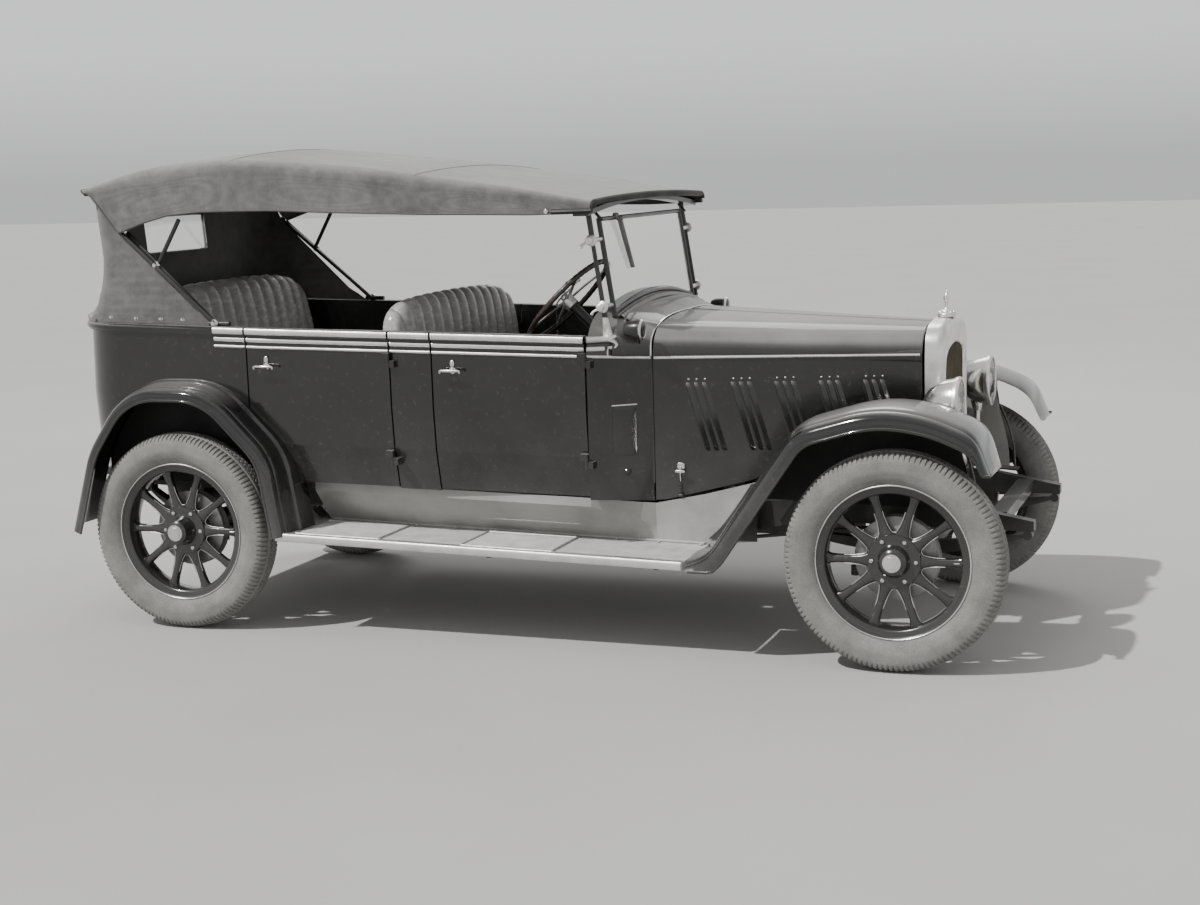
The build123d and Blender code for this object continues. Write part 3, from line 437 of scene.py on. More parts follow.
# The lighter film on upward faces set below is partly settled dust, partly painted sheen; on the wings it
# covers only the crown, as a painted highlight
addFinish(paint, "bodyPaint", (0.007, 0.0068, 0.0065), 0.13, 0.35, dustTop=0.9, dustAmount=0.19,
          settled=0.46, upFrom=0.08, upTo=0.6)
addFinish(paint, "wingPaint", (0.004, 0.004, 0.004), 0.09, 0.6, dustTop=0.8, dustAmount=0.22, settled=0.38,
          upFrom=0.72, upTo=1.0)
addFinish(paint, "chassisPaint", (0.006, 0.006, 0.006), 0.35, 0.2, dustTop=0.6, dustAmount=0.30, settled=0.10)
addFinish(paint, "valancePaint", (0.20, 0.195, 0.185), 0.3, 0.5, (0.46, 0.45, 0.43), 0.75, 0.9, settled=0.8)
addFinish(paint, "underPaint", (0.003, 0.003, 0.003), 0.55, 0.0, dustTop=0.55, dustAmount=0.12, settled=0.05)
addFinish(paint, "wheelPaint", (0.004, 0.004, 0.004), 0.16, 0.6, dustTop=0.8, dustAmount=0.06, settled=0.05)
addFinish(metal, "nickel", (0.78, 0.77, 0.74), 0.2, 0.14)
addFinish(metal, "shellNickel", (0.90, 0.89, 0.87), 0.3, 0.1)
addFinish(metal, "coreBrass", (0.10, 0.085, 0.06), 0.5, 0.2, 0.4)
addFinish(metal, "iron", (0.09, 0.085, 0.08), 0.6, 0.2, 0.4, 0.7)
addFinish(metal, "drumIron", (0.34, 0.33, 0.32), 0.5, 0.2, 0.3, 0.8)
addFinish(metal, "alloyEdge", (0.82, 0.81, 0.79), 0.42, 0.2)
addFinish(rubber, "tyreRubber", (0.085, 0.082, 0.078), (0.34, 0.33, 0.31))
addFinish(rubber, "matRubber", (0.24, 0.235, 0.225), (0.58, 0.57, 0.55), 0.8, 0.75)
# The seat leather's light colour is painted light: it stands in for the glossy sheen on the pleats
addFinish(leather, "seatLeatherPaintedLight", (0.36, 0.35, 0.335), 0.17)
addFinish(leather, "trimLeather", (0.016, 0.014, 0.013), 0.5)
addFinish(canvas, "hoodCanvas", (0.080, 0.078, 0.075), (0.26, 0.255, 0.245))
addFinish(canvas, "hoodBinding", (0.05, 0.048, 0.046), (0.09, 0.086, 0.08), 700, 0.3)
addFinish(canvas, "hoodLining", (0.045, 0.042, 0.038), (0.07, 0.066, 0.06), 600, 0.3)
addFinish(paint, "hoodIron", (0.010, 0.010, 0.010), 0.3, 0.3, dustAmount=0.1, settled=0.05)
addFinish(clearPane, "paneGlass", (0.95, 0.97, 0.96))
addFinish(clearPane, "lampGlass", (0.9, 0.9, 0.86), 0.08)
addFinish(wood, "dashWood", (0.03, 0.014, 0.008), (0.11, 0.055, 0.028), run=(9, 1, 9))
addFinish(wood, "rimWood", (0.012, 0.009, 0.008), (0.05, 0.03, 0.02))
addFinish(canvas, "carpet", (0.03, 0.027, 0.024), (0.06, 0.053, 0.045), 260, 0.4)
print("finishes ready:", len(finishes))


# Finishes of the model's own nodes; a name that ends with a line stands for the right and the left one
dressing = {
    "bodyPaint": "back_panel bonnet_ centre_posts door_front_ door_rear_ rear_quarters scuttle",
    "hoodIron": "cowl_lamps hood_frame",
    "wingPaint": "front_wings rear_wings",
    "valancePaint": "valances",
    "chassisPaint": "chassis_frame drop_arm drag_link front_axle fuel_tank knuckle_ leaf_springs rear_axle "
                    "steering_column tie_rod",
    "nickel": "headlamps radiator_cap windscreen_frame",
    "shellNickel": "radiator_shell",
    "coreBrass": "radiator_core",
    "iron": "engine_block exhaust",
    "wheelPaint": "wheel_front_ wheel_rear_",
    "tyreRubber": "tyre_front_ tyre_rear_",
    "seatLeatherPaintedLight": "front_seat_back front_seat_cushion rear_seat_back rear_seat_cushion",
    "hoodCanvas": "hood_back hood_roof",
    "paneGlass": "windscreen_glass rear_window",
    "dashWood": "dashboard",
    "carpet": "floor",
    "rimWood": "steering_wheel",
    "matRubber": "running_boards"}
for finish, stems in dressing.items():
    for stem in stems.split():
        for node in [stem + side for side in sides] if stem.endswith("_") else [stem]:
            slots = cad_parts[node].material_slots
            for entry in slots:
                entry.material = finishes[finish]
            if not slots:
                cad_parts[node].data.materials.append(finishes[finish])

# Floor, light and camera
view = {"place": (2.74094, -7.04381, 1.76158), "right": (0.93878, 0.34323, -0.02989),
        "up": (-0.02402, 0.15176, 0.98813), "focalPixels": 1894.8, "middle": (602.0, 453.6),
        "picture": (1200, 905), "sensor": 36}


def addObject(name, data, right, up, back, place):
    # An object whose own X, Y and Z point along right, up and back.
    obj = bpy.data.objects.new(name, data)
    obj.matrix_world = Matrix([[right[k], up[k], back[k], place[k]] for k in range(3)] + [[0, 0, 0, 1]])
    bpy.context.scene.collection.objects.link(obj)
    return obj


wide, high = view["picture"]
cameraData = bpy.data.cameras.new("camera")
cameraData.sensor_width = view["sensor"]
cameraData.lens = view["focalPixels"] * view["sensor"] / wide
cameraData.shift_x = (wide / 2 - view["middle"][0]) / wide
cameraData.shift_y = (view["middle"][1] - high / 2) / wide
facing = np.cross(view["right"], view["up"])
bpy.context.scene.camera = addObject("camera", cameraData, view["right"], view["up"], facing, view["place"])

ground = bpy.data.meshes.new("ground")
ground.from_pydata([(-60, -60, 0), (60, -60, 0), (60, 60, 0), (-60, 60, 0)], [], [(0, 1, 2, 3)])
floorPiece = bpy.data.objects.new("ground", ground)
bpy.context.scene.collection.objects.link(floorPiece)
groundFinish, groundTree, groundShader, groundWhere = newFinish("groundFinish")
cloud = noise(groundTree, groundWhere, 0.8, 8, 0.6)
groundColour = blendColours(groundTree, cloud, (0.36, 0.355, 0.345), (0.43, 0.425, 0.415))
setInputs(groundShader, {"Base Color": groundColour, "Roughness": 0.9})
ground.materials.append(groundFinish)


def addLight(name, kind, place, target, **settings):
    data = bpy.data.lights.new(name, kind)
    for key, value in settings.items():
        setattr(data, key, value)
    toward = unit(np.subtract(target, place))
    side = unit(np.cross(toward, [0, 0, 1.0]))
    addObject(name, data, side, np.cross(side, toward), -toward, place)


addLight("keyLight", "SUN", (-4.5, -5.0, 9.0), (0.2, 0, 0.7), angle=math.radians(1.2), energy=4.3)
addLight("backLight", "AREA", (-1.0, 7.0, 7.0), (0, 0, 1.0), shape="DISK", size=4.0, energy=220)

# Sky: brightness by the share of the way from straight down to straight up
skyBands = ((0.0, 0.30), (0.5, 0.60), (0.53, 0.92), (0.62, 0.90), (0.8, 0.62), (1.0, 0.46))
sky = bpy.data.worlds.new("sky")
sky.use_nodes = True
skyTree = sky.node_tree
skyPlace = newNode(skyTree, "TexCoord").outputs["Generated"]
skyTurn = newNode(skyTree, "SeparateXYZ", {"Vector": skyPlace}).outputs["Z"]
skyRamp = newNode(skyTree, "ValToRGB", {"Fac": spread(skyTree, skyTurn, 0.0, 1.0, -1.0, 1.0)})
bands = skyRamp.color_ramp.elements
for k, (share, level) in enumerate(skyBands):
    entry = bands[0] if k == 0 else bands.new(share)
    entry.position, entry.color = share, (level, level * 1.005, level * 1.01, 1)
bands.remove(bands[-1])
setInputs(skyTree.nodes["Background"], {"Color": skyRamp.outputs["Color"], "Strength": 1.0})
bpy.context.scene.world = sky
print("camera and light ready")


# Tyres: a section turned about the axle, with the tread cut in as a depth that changes round and across it
tyre = {"outer": 0.3875, "lugs": 126, "depth": 0.0055, "around": 1008, "across": 40}


def ramp(t, low, high):
    return np.clip((t - low) / (high - low), 0, 1)


def tyreShape():
    # Radius and width follow a smooth section; the depth of the cut is made of steep waves of the angle.
    section = smoothCurve([(0.2630, 0.0455), (0.2705, 0.0470), (0.2860, 0.0600), (0.3130, 0.0712),
                           (0.3330, 0.0722), (0.3560, 0.0690), (0.3715, 0.0620), (0.3800, 0.0480),
                           (0.3850, 0.0300), (0.3873, 0.0120), (tyre["outer"], 0.0)], tyre["across"])
    section = np.concatenate([section, section[-2::-1] * np.array([1, -1])])
    angle = fullTurn(tyre["around"])[:, None]
    r, out = section[None, :, 0], section[None, :, 1]
    shoulder = ramp(r, 0.358, 0.366) * ramp(np.abs(out), 0.030, 0.034)
    crown = 1 - ramp(np.abs(out), 0.026, 0.030)
    row = np.sign(out) * 0.5
    lug = ramp(np.cos((angle * tyre["lugs"]) + row * math.pi), 0.35, 0.75)
    zigzag = np.abs(((angle * tyre["lugs"] / 2 / math.pi) % 1) - 0.5) * 0.022
    rib = 1 - ramp(np.abs(np.abs(out) - zigzag - 0.004), 0.0012, 0.0028)
    ring = np.exp(-((np.abs(out) - 0.0315) / 0.0016) ** 2) * ramp(r, 0.37, 0.375)
    cut = tyre["depth"] * np.clip(lug * shoulder + rib * crown + ring * 0.8, 0, 1)
    bead = 0.0012 * np.exp(-((r - 0.292) / 0.0022) ** 2) + 0.0009 * np.exp(-((r - 0.345) / 0.0018) ** 2)
    radial, side = r - cut * 0.9, out + np.sign(out) * bead - np.sign(out) * cut * 0.35
    return surface(np.stack([radial * np.cos(angle), -side * np.ones_like(angle), radial * np.sin(angle)],
                            -1), wrapU=True)


# Wheels: pressed spokes that flow into the hub and the rim
wheelSizes = {"spokes": 10, "bolts": 6, "boltCircle": 0.078, "boltFace": 0.022, "halfTrack": 0.715,
              "hubRing": 0.070, "rimRing": 0.245}


def spokeShape(number):
    # Ellipse along a radius: its half width dips in the middle, flares at both ends, and it thins outwards.
    s = np.linspace(0, 1, 34)
    r = wheelSizes["hubRing"] + (wheelSizes["rimRing"] - wheelSizes["hubRing"]) * s
    across = np.interp(r, [0.070, 0.090, 0.104, 0.122, 0.150, 0.200, 0.222, 0.236, 0.245],
                       [0.031, 0.0285, 0.0225, 0.0178, 0.0150, 0.0150, 0.0172, 0.0235, 0.034])
    deep = np.interp(r, [0.070, 0.105, 0.150, 0.245], [0.0205, 0.0190, 0.0150, 0.0165])
    angle = fullTurn(24)
    local = np.stack([np.broadcast_to(r[:, None], (len(r), len(angle))),
                      deep[:, None] * signedPower(np.sin(angle), 0.8)[None],
                      across[:, None] * signedPower(np.cos(angle), 0.8)[None]], -1)
    return solid(local @ turned(360 / wheelSizes["spokes"] * number, "Y").T)


def crotchWearAndHighlight(number):
    # Bright line between two spokes, partly a worn edge and partly a painted highlight: along one spoke's
    # flank, round the hub plate and out along the next flank
    r = np.concatenate([np.linspace(0.176, 0.104, 14), np.full(7, 0.1000), np.linspace(0.104, 0.176, 14)])
    flank = np.interp(r, [0.090, 0.104, 0.122, 0.150, 0.200], [0.0285, 0.0225, 0.0178, 0.0150, 0.0150]) / r
    side = np.concatenate([-np.ones(14), np.linspace(-0.72, 0.72, 7), np.ones(14)])
    share = math.pi / wheelSizes["spokes"]
    angle = share * (2 * number + 1) + side * (share - flank)
    return tube(np.stack([r * np.cos(angle), -0.0105 + 0 * r, r * np.sin(angle)], 1), 0.0013, 6)


def onAxle(outline, around=96, spot=(0, 0, 0)):
    # Outline of (radius, distance outwards) turned about the axle, or about a line beside it.
    return lathe(outline, spot, (0, -1, 0), around)


def wheelShapes(hubLength):
    # The painted wheel, the drum behind it and the bright parts.
    rim = onAxle([(0.2365, -0.036), (0.2345, 0), (0.2365, 0.036), (0.2420, 0.0425), (0.2540, 0.0450),
                  (0.2610, 0.0460), (0.2650, 0.0500), (0.2690, 0.0518), (0.2708, 0.0495), (0.2700, 0.0455),
                  (0.2622, 0.0440), (0.2615, 0), (0.2622, -0.0440), (0.2700, -0.0455), (0.2708, -0.0495),
                  (0.2690, -0.0518), (0.2650, -0.0500), (0.2540, -0.0450), (0.2420, -0.0425),
                  (0.2365, -0.036)], 144)
    step = wheelSizes["boltFace"]
    face = onAxle([(0, -0.03), (0.093, -0.03), (0.0945, -0.02), (0.0945, step - 0.004), (0.0925, step),
                   (0.068, step + 0.001), (0.0585, step + 0.003), (0.0565, step + 0.010),
                   (0.0530, step + 0.022), (0.0440, hubLength - 0.016), (0.0330, hubLength - 0.008),
                   (0.0270, hubLength - 0.007), (0, hubLength - 0.007)])
    drum = onAxle([(0.054, -0.0265), (0.110, -0.0265), (0.118, -0.0290), (0.140, -0.0290), (0.1475, -0.0320),
                   (0.1495, -0.040), (0.1495, -0.046), (0.1470, -0.048), (0.1470, -0.051), (0.1495, -0.053),
                   (0.1495, -0.058), (0.1470, -0.060), (0.1470, -0.063), (0.1495, -0.065), (0.1495, -0.0715),
                   (0.1455, -0.0715), (0.1455, -0.034), (0.054, -0.034)])
    cap = onAxle([(0.0255, hubLength - 0.008), (0.0262, hubLength - 0.002), (0.0240, hubLength - 0.0005),
                  (0.0215, hubLength), (0, hubLength)], 6)
    collar = onAxle([(0.0310, hubLength - 0.0088), (0.0318, hubLength - 0.0070),
                     (0.0250, hubLength - 0.0055), (0, hubLength - 0.0055)], 48)
    # Bright ring on the outer flange: a painted highlight along the rim's edge
    rimHighlightRing = onAxle([(0.2664, 0.0512), (0.2690, 0.0528), (0.2712, 0.0516), (0.2712, 0.0500),
                      (0.2664, 0.0500)], 144)
    spokes = range(wheelSizes["spokes"])
    bright = [cap, collar, rimHighlightRing] + [crotchWearAndHighlight(n) for n in spokes]
    for n in range(wheelSizes["bolts"]):
        a = 2 * math.pi * n / wheelSizes["bolts"]
        spot = (wheelSizes["boltCircle"] * math.cos(a), 0, wheelSizes["boltCircle"] * math.sin(a))
        bright.append(onAxle([(0.0082, step - 0.001), (0.0086, step + 0.006), (0.0070, step + 0.0078),
                              (0, step + 0.0078)], 6, spot))
        bright.append(onAxle([(0.0040, step + 0.007), (0.0040, step + 0.0105), (0.0030, step + 0.0115),
                              (0, step + 0.0115)], 12, spot))
    bright.append(straight((0.232, -0.012, 0), (0.205, -0.016, 0), 0.0032, 3, 10))
    return joined([rim, face] + [spokeShape(n) for n in spokes]), drum, joined(bright)


def placed(shape, x, side):
    # A wheel shape made with its outside towards -Y, moved to its axle end.
    points, quads, others = shape if side < 0 else mirrored(shape)
    return points + np.array([x, side * wheelSizes["halfTrack"], tyre["outer"]]), quads, others


treadShape = tyreShape()
for end, x, hubLength in (("front", frontAxle, 0.068), ("rear", frontAxle - wheelbase, 0.092)):
    darkShape, drumShape, brightShape = wheelShapes(hubLength)
    for side, sign in sides.items():
        body = f"wheel_{end}_{side}"
        for part, shape, finish, slot, replaced in (
                ("Tyre", treadShape, "tyreRubber", "tyre_rubber", (f"tyre_{end}_{side}",)),
                ("Wheel", darkShape, "wheelPaint", "wheel_paint", (body,)),
                ("Drum", drumShape, "drumIron", "wheel_paint", ()),
                ("HubCap", brightShape, "nickel", "bright_plate", ())):
            piece(f"{end}{side.title()}{part}", placed(shape, x, sign), finishes[finish], body, slot,
                  replaced, weld=part != "Tyre")
print("wheels ready")

# Wings: a section of (distance from the middle, depth below the crown) carried along the line in side view
wing = {"wall": 1.8, "bead": 5.5}
frontWingLine = roundedLine([(342, 702), (288, 848), (20, 962), (-345, 858), (-668, 392), (-738, 370)],
                            [130, 540, 200, 110])
rearWingLine = roundedLine([(-2335, raked(-2335, 373) - 10), (-2385, 700), (-2640, 955), (-3010, 955),
                            (-3190, 700), (-3285, 385)], [250, 300, 280, 350])
frontWingSection = [(820, 78), (819.5, 60), (816, 42), (806, 28), (792, 20), (784, 19), (777, 15), (762, 9),
                    (725, 4), (670, 0), (610, 0), (550, 4), (500, 12), (474, 20)]
rearWingSection = [(822, 45), (822, 26), (817, 12), (806, 3), (794, -1), (787, -2), (780, -6), (765, -10),
                   (722, -14), (706, -22), (690, -27), (600, -27)]


def inwardNormal(line):
    tangent = unit(np.gradient(line, axis=0))
    return np.stack([-tangent[:, 1], tangent[:, 0]], axis=1)


wingCorner = {"radius": 115, "x": 227, "inner": 474, "footLow": 335, "footFrom": -560, "tipLow": 704}


def innerEdge(x):
    # Distance of the front wing's inner edge from the middle; a quarter circle rounds its front corner
    ahead = np.clip(np.asarray(x, float) - wingCorner["x"], 0, wingCorner["radius"] - 1)
    return wingCorner["inner"] + wingCorner["radius"] - np.sqrt(wingCorner["radius"] ** 2 - ahead ** 2)


def wingPlace(line, depth, front):
    # Line + depth along the inward normal, which turns to straight down ahead of the crown. The foot and the
    # tip end level.
    normal = inwardNormal(line)
    if front:
        share = np.clip((line[:, :1] + 60) / 180, 0, 1)
        normal = unit(normal * (1 - share) + np.array([[0, -1.0]]) * share)
        room = np.where(line[:, :1] > 0, np.maximum(line[:, 1:] - wingCorner["tipLow"], 0), 1000)
        depth = np.minimum(depth, room)
    x = line[:, :1] + normal[:, :1] * depth
    z = line[:, 1:] + normal[:, 1:] * depth
    if front:
        z = np.where(x < wingCorner["footFrom"], np.maximum(z, wingCorner["footLow"]), z)
    return x, z


def wingSkin(line, section, count=40, front=False):
    # The section is carried along the line; the wall is a second copy a little deeper, joined at both edges
    curve = smoothCurve(section, count)
    slope = unit(np.gradient(curve, axis=0))
    inner = curve - np.stack([-slope[:, 1], slope[:, 0]], axis=1) * wing["wall"]
    ring = np.concatenate([curve, inner[::-1]])
    x, z = wingPlace(line, ring[None, :, 1], front)
    y = np.broadcast_to(ring[None, :, 0], x.shape)
    if front:
        share = (section[0][0] - y) / (section[0][0] - wingCorner["inner"])
        y = y + (innerEdge(x) - wingCorner["inner"]) * np.clip(share, 0, 1)
    return solid(at(x, -y, z))


def wingBead(line, y, depth, radius, front=False):
    x, z = wingPlace(line, depth, front)
    return tube(at(x[:, 0], -y, z[:, 0]), radius / 1000, 10)


def cheek(line, y, drop, low, wall=6, front=None):
    # Flat wall under a wing: from the line, sunk by a drop, down to a lower edge. Its front end may lean
    # along a curve.
    keep = line[line[:, 1] - drop > low(line[:, 0]) + 4]
    if front:
        keep = keep[keep[:, 0] < front[0][0]]
    share = np.linspace(0, 1, 12)[None, :]
    top, bottom = keep[:, 1:] - drop, low(keep[:, :1])
    z = top + (bottom - top) * share
    x = keep[:, :1] + 0 * z
    if front:
        lean = np.interp(z, [b for a, b in front[::-1]], [a for a, b in front[::-1]]) - front[0][0]
        x = x + lean * np.clip((x + 150) / (front[0][0] + 150), 0, 1) ** 2
    x, z = np.concatenate([x, x[:, ::-1]], 1), np.concatenate([z, z[:, ::-1]], 1)
    inner = np.repeat([y, y + wall], 12)[None, :] + 0 * x
    return solid(at(x, -inner, z))


# Forward edge of the inner wall, from the wing down, and the section of the shelf along its foot
valanceFront = [(186, 771), (218, 692), (237, 612), (241, 532)]
frontShelf = np.array([(-430, 561.3), (-140, 563), (150, 565.3), (260, 560), (260, 566), (150, 571),
                       (-430, 567)])
wallFoot = {"level": 560, "inner": 474}


def frontFoot(x):
    return raked(x, wallFoot["level"])


def rearFoot(x):
    return wallFoot["level"] + 0 * x


def onShelf(a, b, depth):
    return at(a, depth, b)


shelfOutline = np.stack([frontShelf[:, 0], raked(frontShelf[:, 0], frontShelf[:, 1])], 1)
frontWing = [wingSkin(frontWingLine, frontWingSection, front=True),
             wingBead(frontWingLine, 819.5, 75, wing["bead"], True),
             tube(at([a for a, b in valanceFront], -wallFoot["inner"], [b for a, b in valanceFront]), 0.0045,
                  10),
             plateShape(shelfOutline, (-477, -403), onShelf)]
rearWing = [wingSkin(rearWingLine, rearWingSection), wingBead(rearWingLine, 821, 44, wing["bead"])]
cheeks = [cheek(frontWingLine, wallFoot["inner"], 22, frontFoot, front=valanceFront),
          cheek(rearWingLine, 600, -26, rearFoot)]
liner = cheek(frontWingLine, wallFoot["inner"] - 3.5, 22, frontFoot, 2.5, valanceFront)
rootPair("wingLiners", [liner], "valancePaint", "wing_paint")
rootPair("wingCheeks", cheeks, "underPaint", "wing_paint")
rootPair("frontWingPair", frontWing, "wingPaint", "wing_paint", "front_wings")
rootPair("rearWingPair", rearWing, "wingPaint", "wing_paint", "rear_wings")
print("wings ready")

# Hood: canvas stretched over its bows, with bound edges and seams. The crown's drop towards the sides and the
# radius of the corner change along the car.
hood = {"half": 662, "rearTurn": 14, "sag": 7, "cloth": 0.0035, "bows": (-1142, -1800, -2560, -3215),
        "drop": ((-3246, 42), (-2400, 42), (-1092, 15)),
        "corner": ((-3246, 12), (-3150, 40), (-2900, 72), (-2640, 46), (-2480, 44), (-2200, 54), (-1800, 48),
                   (-1092, 20))}
roofLine = roundedLine([(-1092, 1650), (-1420, 1715), (-2080, 1818), (-2560, 1868), (-2960, 1842),
                        (-3246, 1762)], [3000, 3000, 2500, 1500], 22)
roofEdge = np.array([(-3246, 1740), (-3240, 1735), (-3084, 1548), (-2958, 1588), (-2850, 1614),
                     (-2689, 1625), (-2407, 1624), (-2122, 1611), (-1770, 1598), (-1332, 1588),
                     (-1050, 1592)])


def bowSag(x):
    # 0 at each bow and 1 half way between two of them.
    bows = np.array(sorted(hood["bows"]))
    k = np.clip(np.searchsorted(bows, x) - 1, 0, len(bows) - 2)
    share = np.clip((x - bows[k]) / (bows[k + 1] - bows[k]), 0, 1)
    return np.sin(math.pi * share) ** 0.9


def roofGrid(inset=0.0):
    # Across: up one side flap, round a corner, over the crown as a flat arc, and down the other flap.
    # Along: the crown line in side view. Between bows the crown sinks and the flaps draw in a little.
    x, z = roofLine[:, 0], roofLine[:, 1]
    low = np.interp(x, roofEdge[:, 0], roofEdge[:, 1])
    sag = bowSag(x) * hood["sag"]
    half = hood["half"] - inset
    drops, corners = (np.interp(x, *np.array(hood[key]).T) for key in ("drop", "corner"))
    turn = np.linspace(0, math.pi / 2, 13)[1:]
    rows = []
    for k in range(len(x)):
        corner = corners[k]
        across = np.linspace(-(half - corner), half - corner, 61)
        crown = drops[k] * (across / half) ** 2
        edgeZ = z[k] - inset - crown[-1]
        dip = sag[k] * (1 - (across / half) ** 4)
        middle = np.stack([across, z[k] - inset - crown - dip], 1)
        bend = np.stack([half - corner + corner * np.sin(turn), edgeZ - corner + corner * np.cos(turn)], 1)
        flapTop, flapLow = bend[-1, 1], min(low[k], bend[-1, 1] - 3)
        share = np.linspace(0, 1, 9)[1:]
        flap = np.stack([half - sag[k] * 0.35 * np.sin(math.pi * share),
                         flapTop + (flapLow - flapTop) * share], 1)
        flank = np.concatenate([bend, flap])
        rows.append(np.concatenate([(flank * [-1, 1])[::-1], middle, flank]))
    ring = np.array(rows)
    # In plan the two rear corners are round as well: the last rows draw forward towards the sides
    reach = np.clip((np.abs(ring[..., 0]) - (half - hood["rearTurn"])) / hood["rearTurn"], 0, 1)
    forward = hood["rearTurn"] * (1 - np.sqrt(1 - reach ** 2)) * np.clip((-3020 - x) / 226, 0, 1)[:, None]
    return at(x[:, None] + forward, ring[..., 0], ring[..., 1])


def loopOf(index):
    # Round the edge of a grid of numbers.
    return np.concatenate([index[0], index[1:, -1], index[-1, -2::-1], index[-2:0:-1, 0]])


def gridNormals(points):
    normal = np.cross(np.gradient(points, axis=0), np.gradient(points, axis=1))
    return normal / np.maximum(np.linalg.norm(normal, axis=-1, keepdims=True), 1e-12)


def walled(points, normal, wall, quads, loops):
    # A sheet with a real thickness: the grid and a copy pushed in along its normals, joined round each loop.
    flat, under = points.reshape(-1, 3), (points - normal * wall).reshape(-1, 3)
    rims = [np.stack([loop, np.roll(loop, -1), np.roll(loop, -1) + len(flat), loop + len(flat)], 1)
            for loop in loops]
    return np.concatenate([flat, under]), np.concatenate([quads, quads[:, ::-1] + len(flat)] + rims), []


def roofCloth(name, points, finish, wall, *replaced):
    normal = gridNormals(points)
    outward = points - np.array([frontAxle - 2.2, 0, 1.3])
    if (normal * outward).sum() < 0:
        normal = -normal
    nu, nv = points.shape[:2]
    shape = walled(points, normal, wall, gridFaces(nu, nv), [loopOf(np.arange(nu * nv).reshape(nu, nv))])
    sheet = rootPiece(name, [shape], finish, "hood_canvas", *replaced)


roofPoints = roofGrid()
roofCloth("hoodRoof", roofPoints, "hoodCanvas", hood["cloth"], "hood_roof")
roofCloth("hoodRoofLining", roofGrid(9.0)[:, 3:-3], "hoodLining", 0.002)

edgeRows = [roofPoints[:, 0], roofPoints[:, -1]]
frontHem, rearHem = roofPoints[0, 8:-8], roofPoints[-1, 6:-6]
welts = [tube(row + np.array([0, sign * 0.0016, 0.003]), 0.0065, 8, flatten=0.5)
         for row, sign in zip(edgeRows, (-1, 1))]
welts.append(tube(rearHem, 0.0035, 8))
rails = [tube(frontHem + np.array([0.004, 0, -0.006]), 0.0125, 10, flatten=0.9)]
for row, sign in zip(edgeRows, (-1, 1)):
    front = row[row[:, 0] > at(-1250, 0, 0)[0]]
    rails.append(tube(front + np.array([0.001, sign * 0.006, 0.009]), 0.0125, 10, flatten=0.8))
seams = []
for x in hood["bows"][1:3]:
    k = int(np.argmin(np.abs(roofLine[:, 0] - x)))
    seams.append(tube(roofPoints[k, 16:-16] + np.array([0, 0, 0.0003]), 0.0016, 6))
rootPiece("hoodSeams", seams, "hoodCanvas", "hood_canvas")
boltRow = int(np.argmin(np.abs(edgeRows[0][:, 0] - at(-1262, 0, 0)[0])))
bolt = onAxle([(0.009, 0), (0.008, 0.004), (0.004, 0.006), (0, 0.0065)], 16,
              edgeRows[0][boltRow] + np.array([0, -0.004, 0.012]))
rootPair("hoodBolts", [bolt], "nickel", "bright_plate")
rootPiece("hoodRails", rails, "underPaint", "hood_canvas")
rootPiece("hoodBinding", welts, "hoodBinding", "hood_canvas")

# Back curtain: its outline in plan is a rounded box whose front edge and back face move with height
curtain = {"levels": (1150, 1206, 1225, 1245, 1270, 1300, 1330, 1360, 1390, 1420, 1452, 1475, 1500, 1530,
                      1560, 1582, 1602, 1640, 1670, 1700, 1720, 1738), "window": (-285, 175, 1452, 1602),
           "foot": 1150, "level": 1240}
backFace = np.array([(1150, -3328), (1206, -3328), (1225, -3306), (1245, -3282), (1270, -3256),
                     (1300, -3238), (1340, -3222), (1390, -3212), (1450, -3206), (1600, -3217),
                     (1742, -3227)])
frontEdge = np.array([(1150, -2676), (1185, -2700), (1560, -3092), (1600, -3110), (1640, -3122),
                      (1700, -3140), (1742, -3150)])


def curtainGrid():
    # Front edge, side, round corner and back of each level, then the same mirrored.
    rows = []
    window = curtain["window"]
    for z in curtain["levels"]:
        back = np.interp(z, backFace[:, 0], backFace[:, 1])
        front = np.interp(z, frontEdge[:, 0], frontEdge[:, 1])
        lean = np.interp(z, [1150, 1206, 1500, 1740], [648, 645, 640, 640])
        radius = min(np.interp(z, [1150, 1210, 1300, 1742], [150, 140, 80, 60]), front - back - 6)
        side = np.stack([np.linspace(front, back + radius, 16), np.full(16, -lean)], 1)
        turn = np.linspace(0, math.pi / 2, 9)[1:]
        arc = np.stack([back + radius - radius * np.sin(turn), -lean + radius - radius * np.cos(turn)], 1)
        inner = lean - radius
        y = np.concatenate([np.linspace(-inner, window[0], 6)[1:], np.linspace(window[0], window[1], 8)[1:],
                            np.linspace(window[1], inner, 8)[1:-1]])
        bulge = 5 * np.cos(y / inner * math.pi / 2) * np.interp(z, [1206, 1300, 1500, 1740], [0, -1, -1, 0])
        half = np.concatenate([side, arc])
        rows.append(np.concatenate([half, np.stack([back - bulge, y], 1), (half * [1, -1])[::-1]]))
    ring = np.array(rows)
    level = np.array(curtain["levels"], float)[:, None]
    # The lower edge lies along the raked belt, and the rows above it even out up to a level one
    low = raked(ring[..., 0], 1148) + 1.5
    risen = (level - curtain["foot"]) / (curtain["level"] - curtain["foot"])
    z = np.where(level < curtain["level"], low + risen * np.maximum(curtain["level"] - low, 4),
                 np.maximum(level, low))
    # The top follows the roof's crown
    gap = np.clip(28 - 42 * (ring[..., 1] / hood["half"]) ** 2, 0, None) * np.clip((level - 1620) / 118, 0, 1)
    return at(ring[..., 0], ring[..., 1], z + gap)


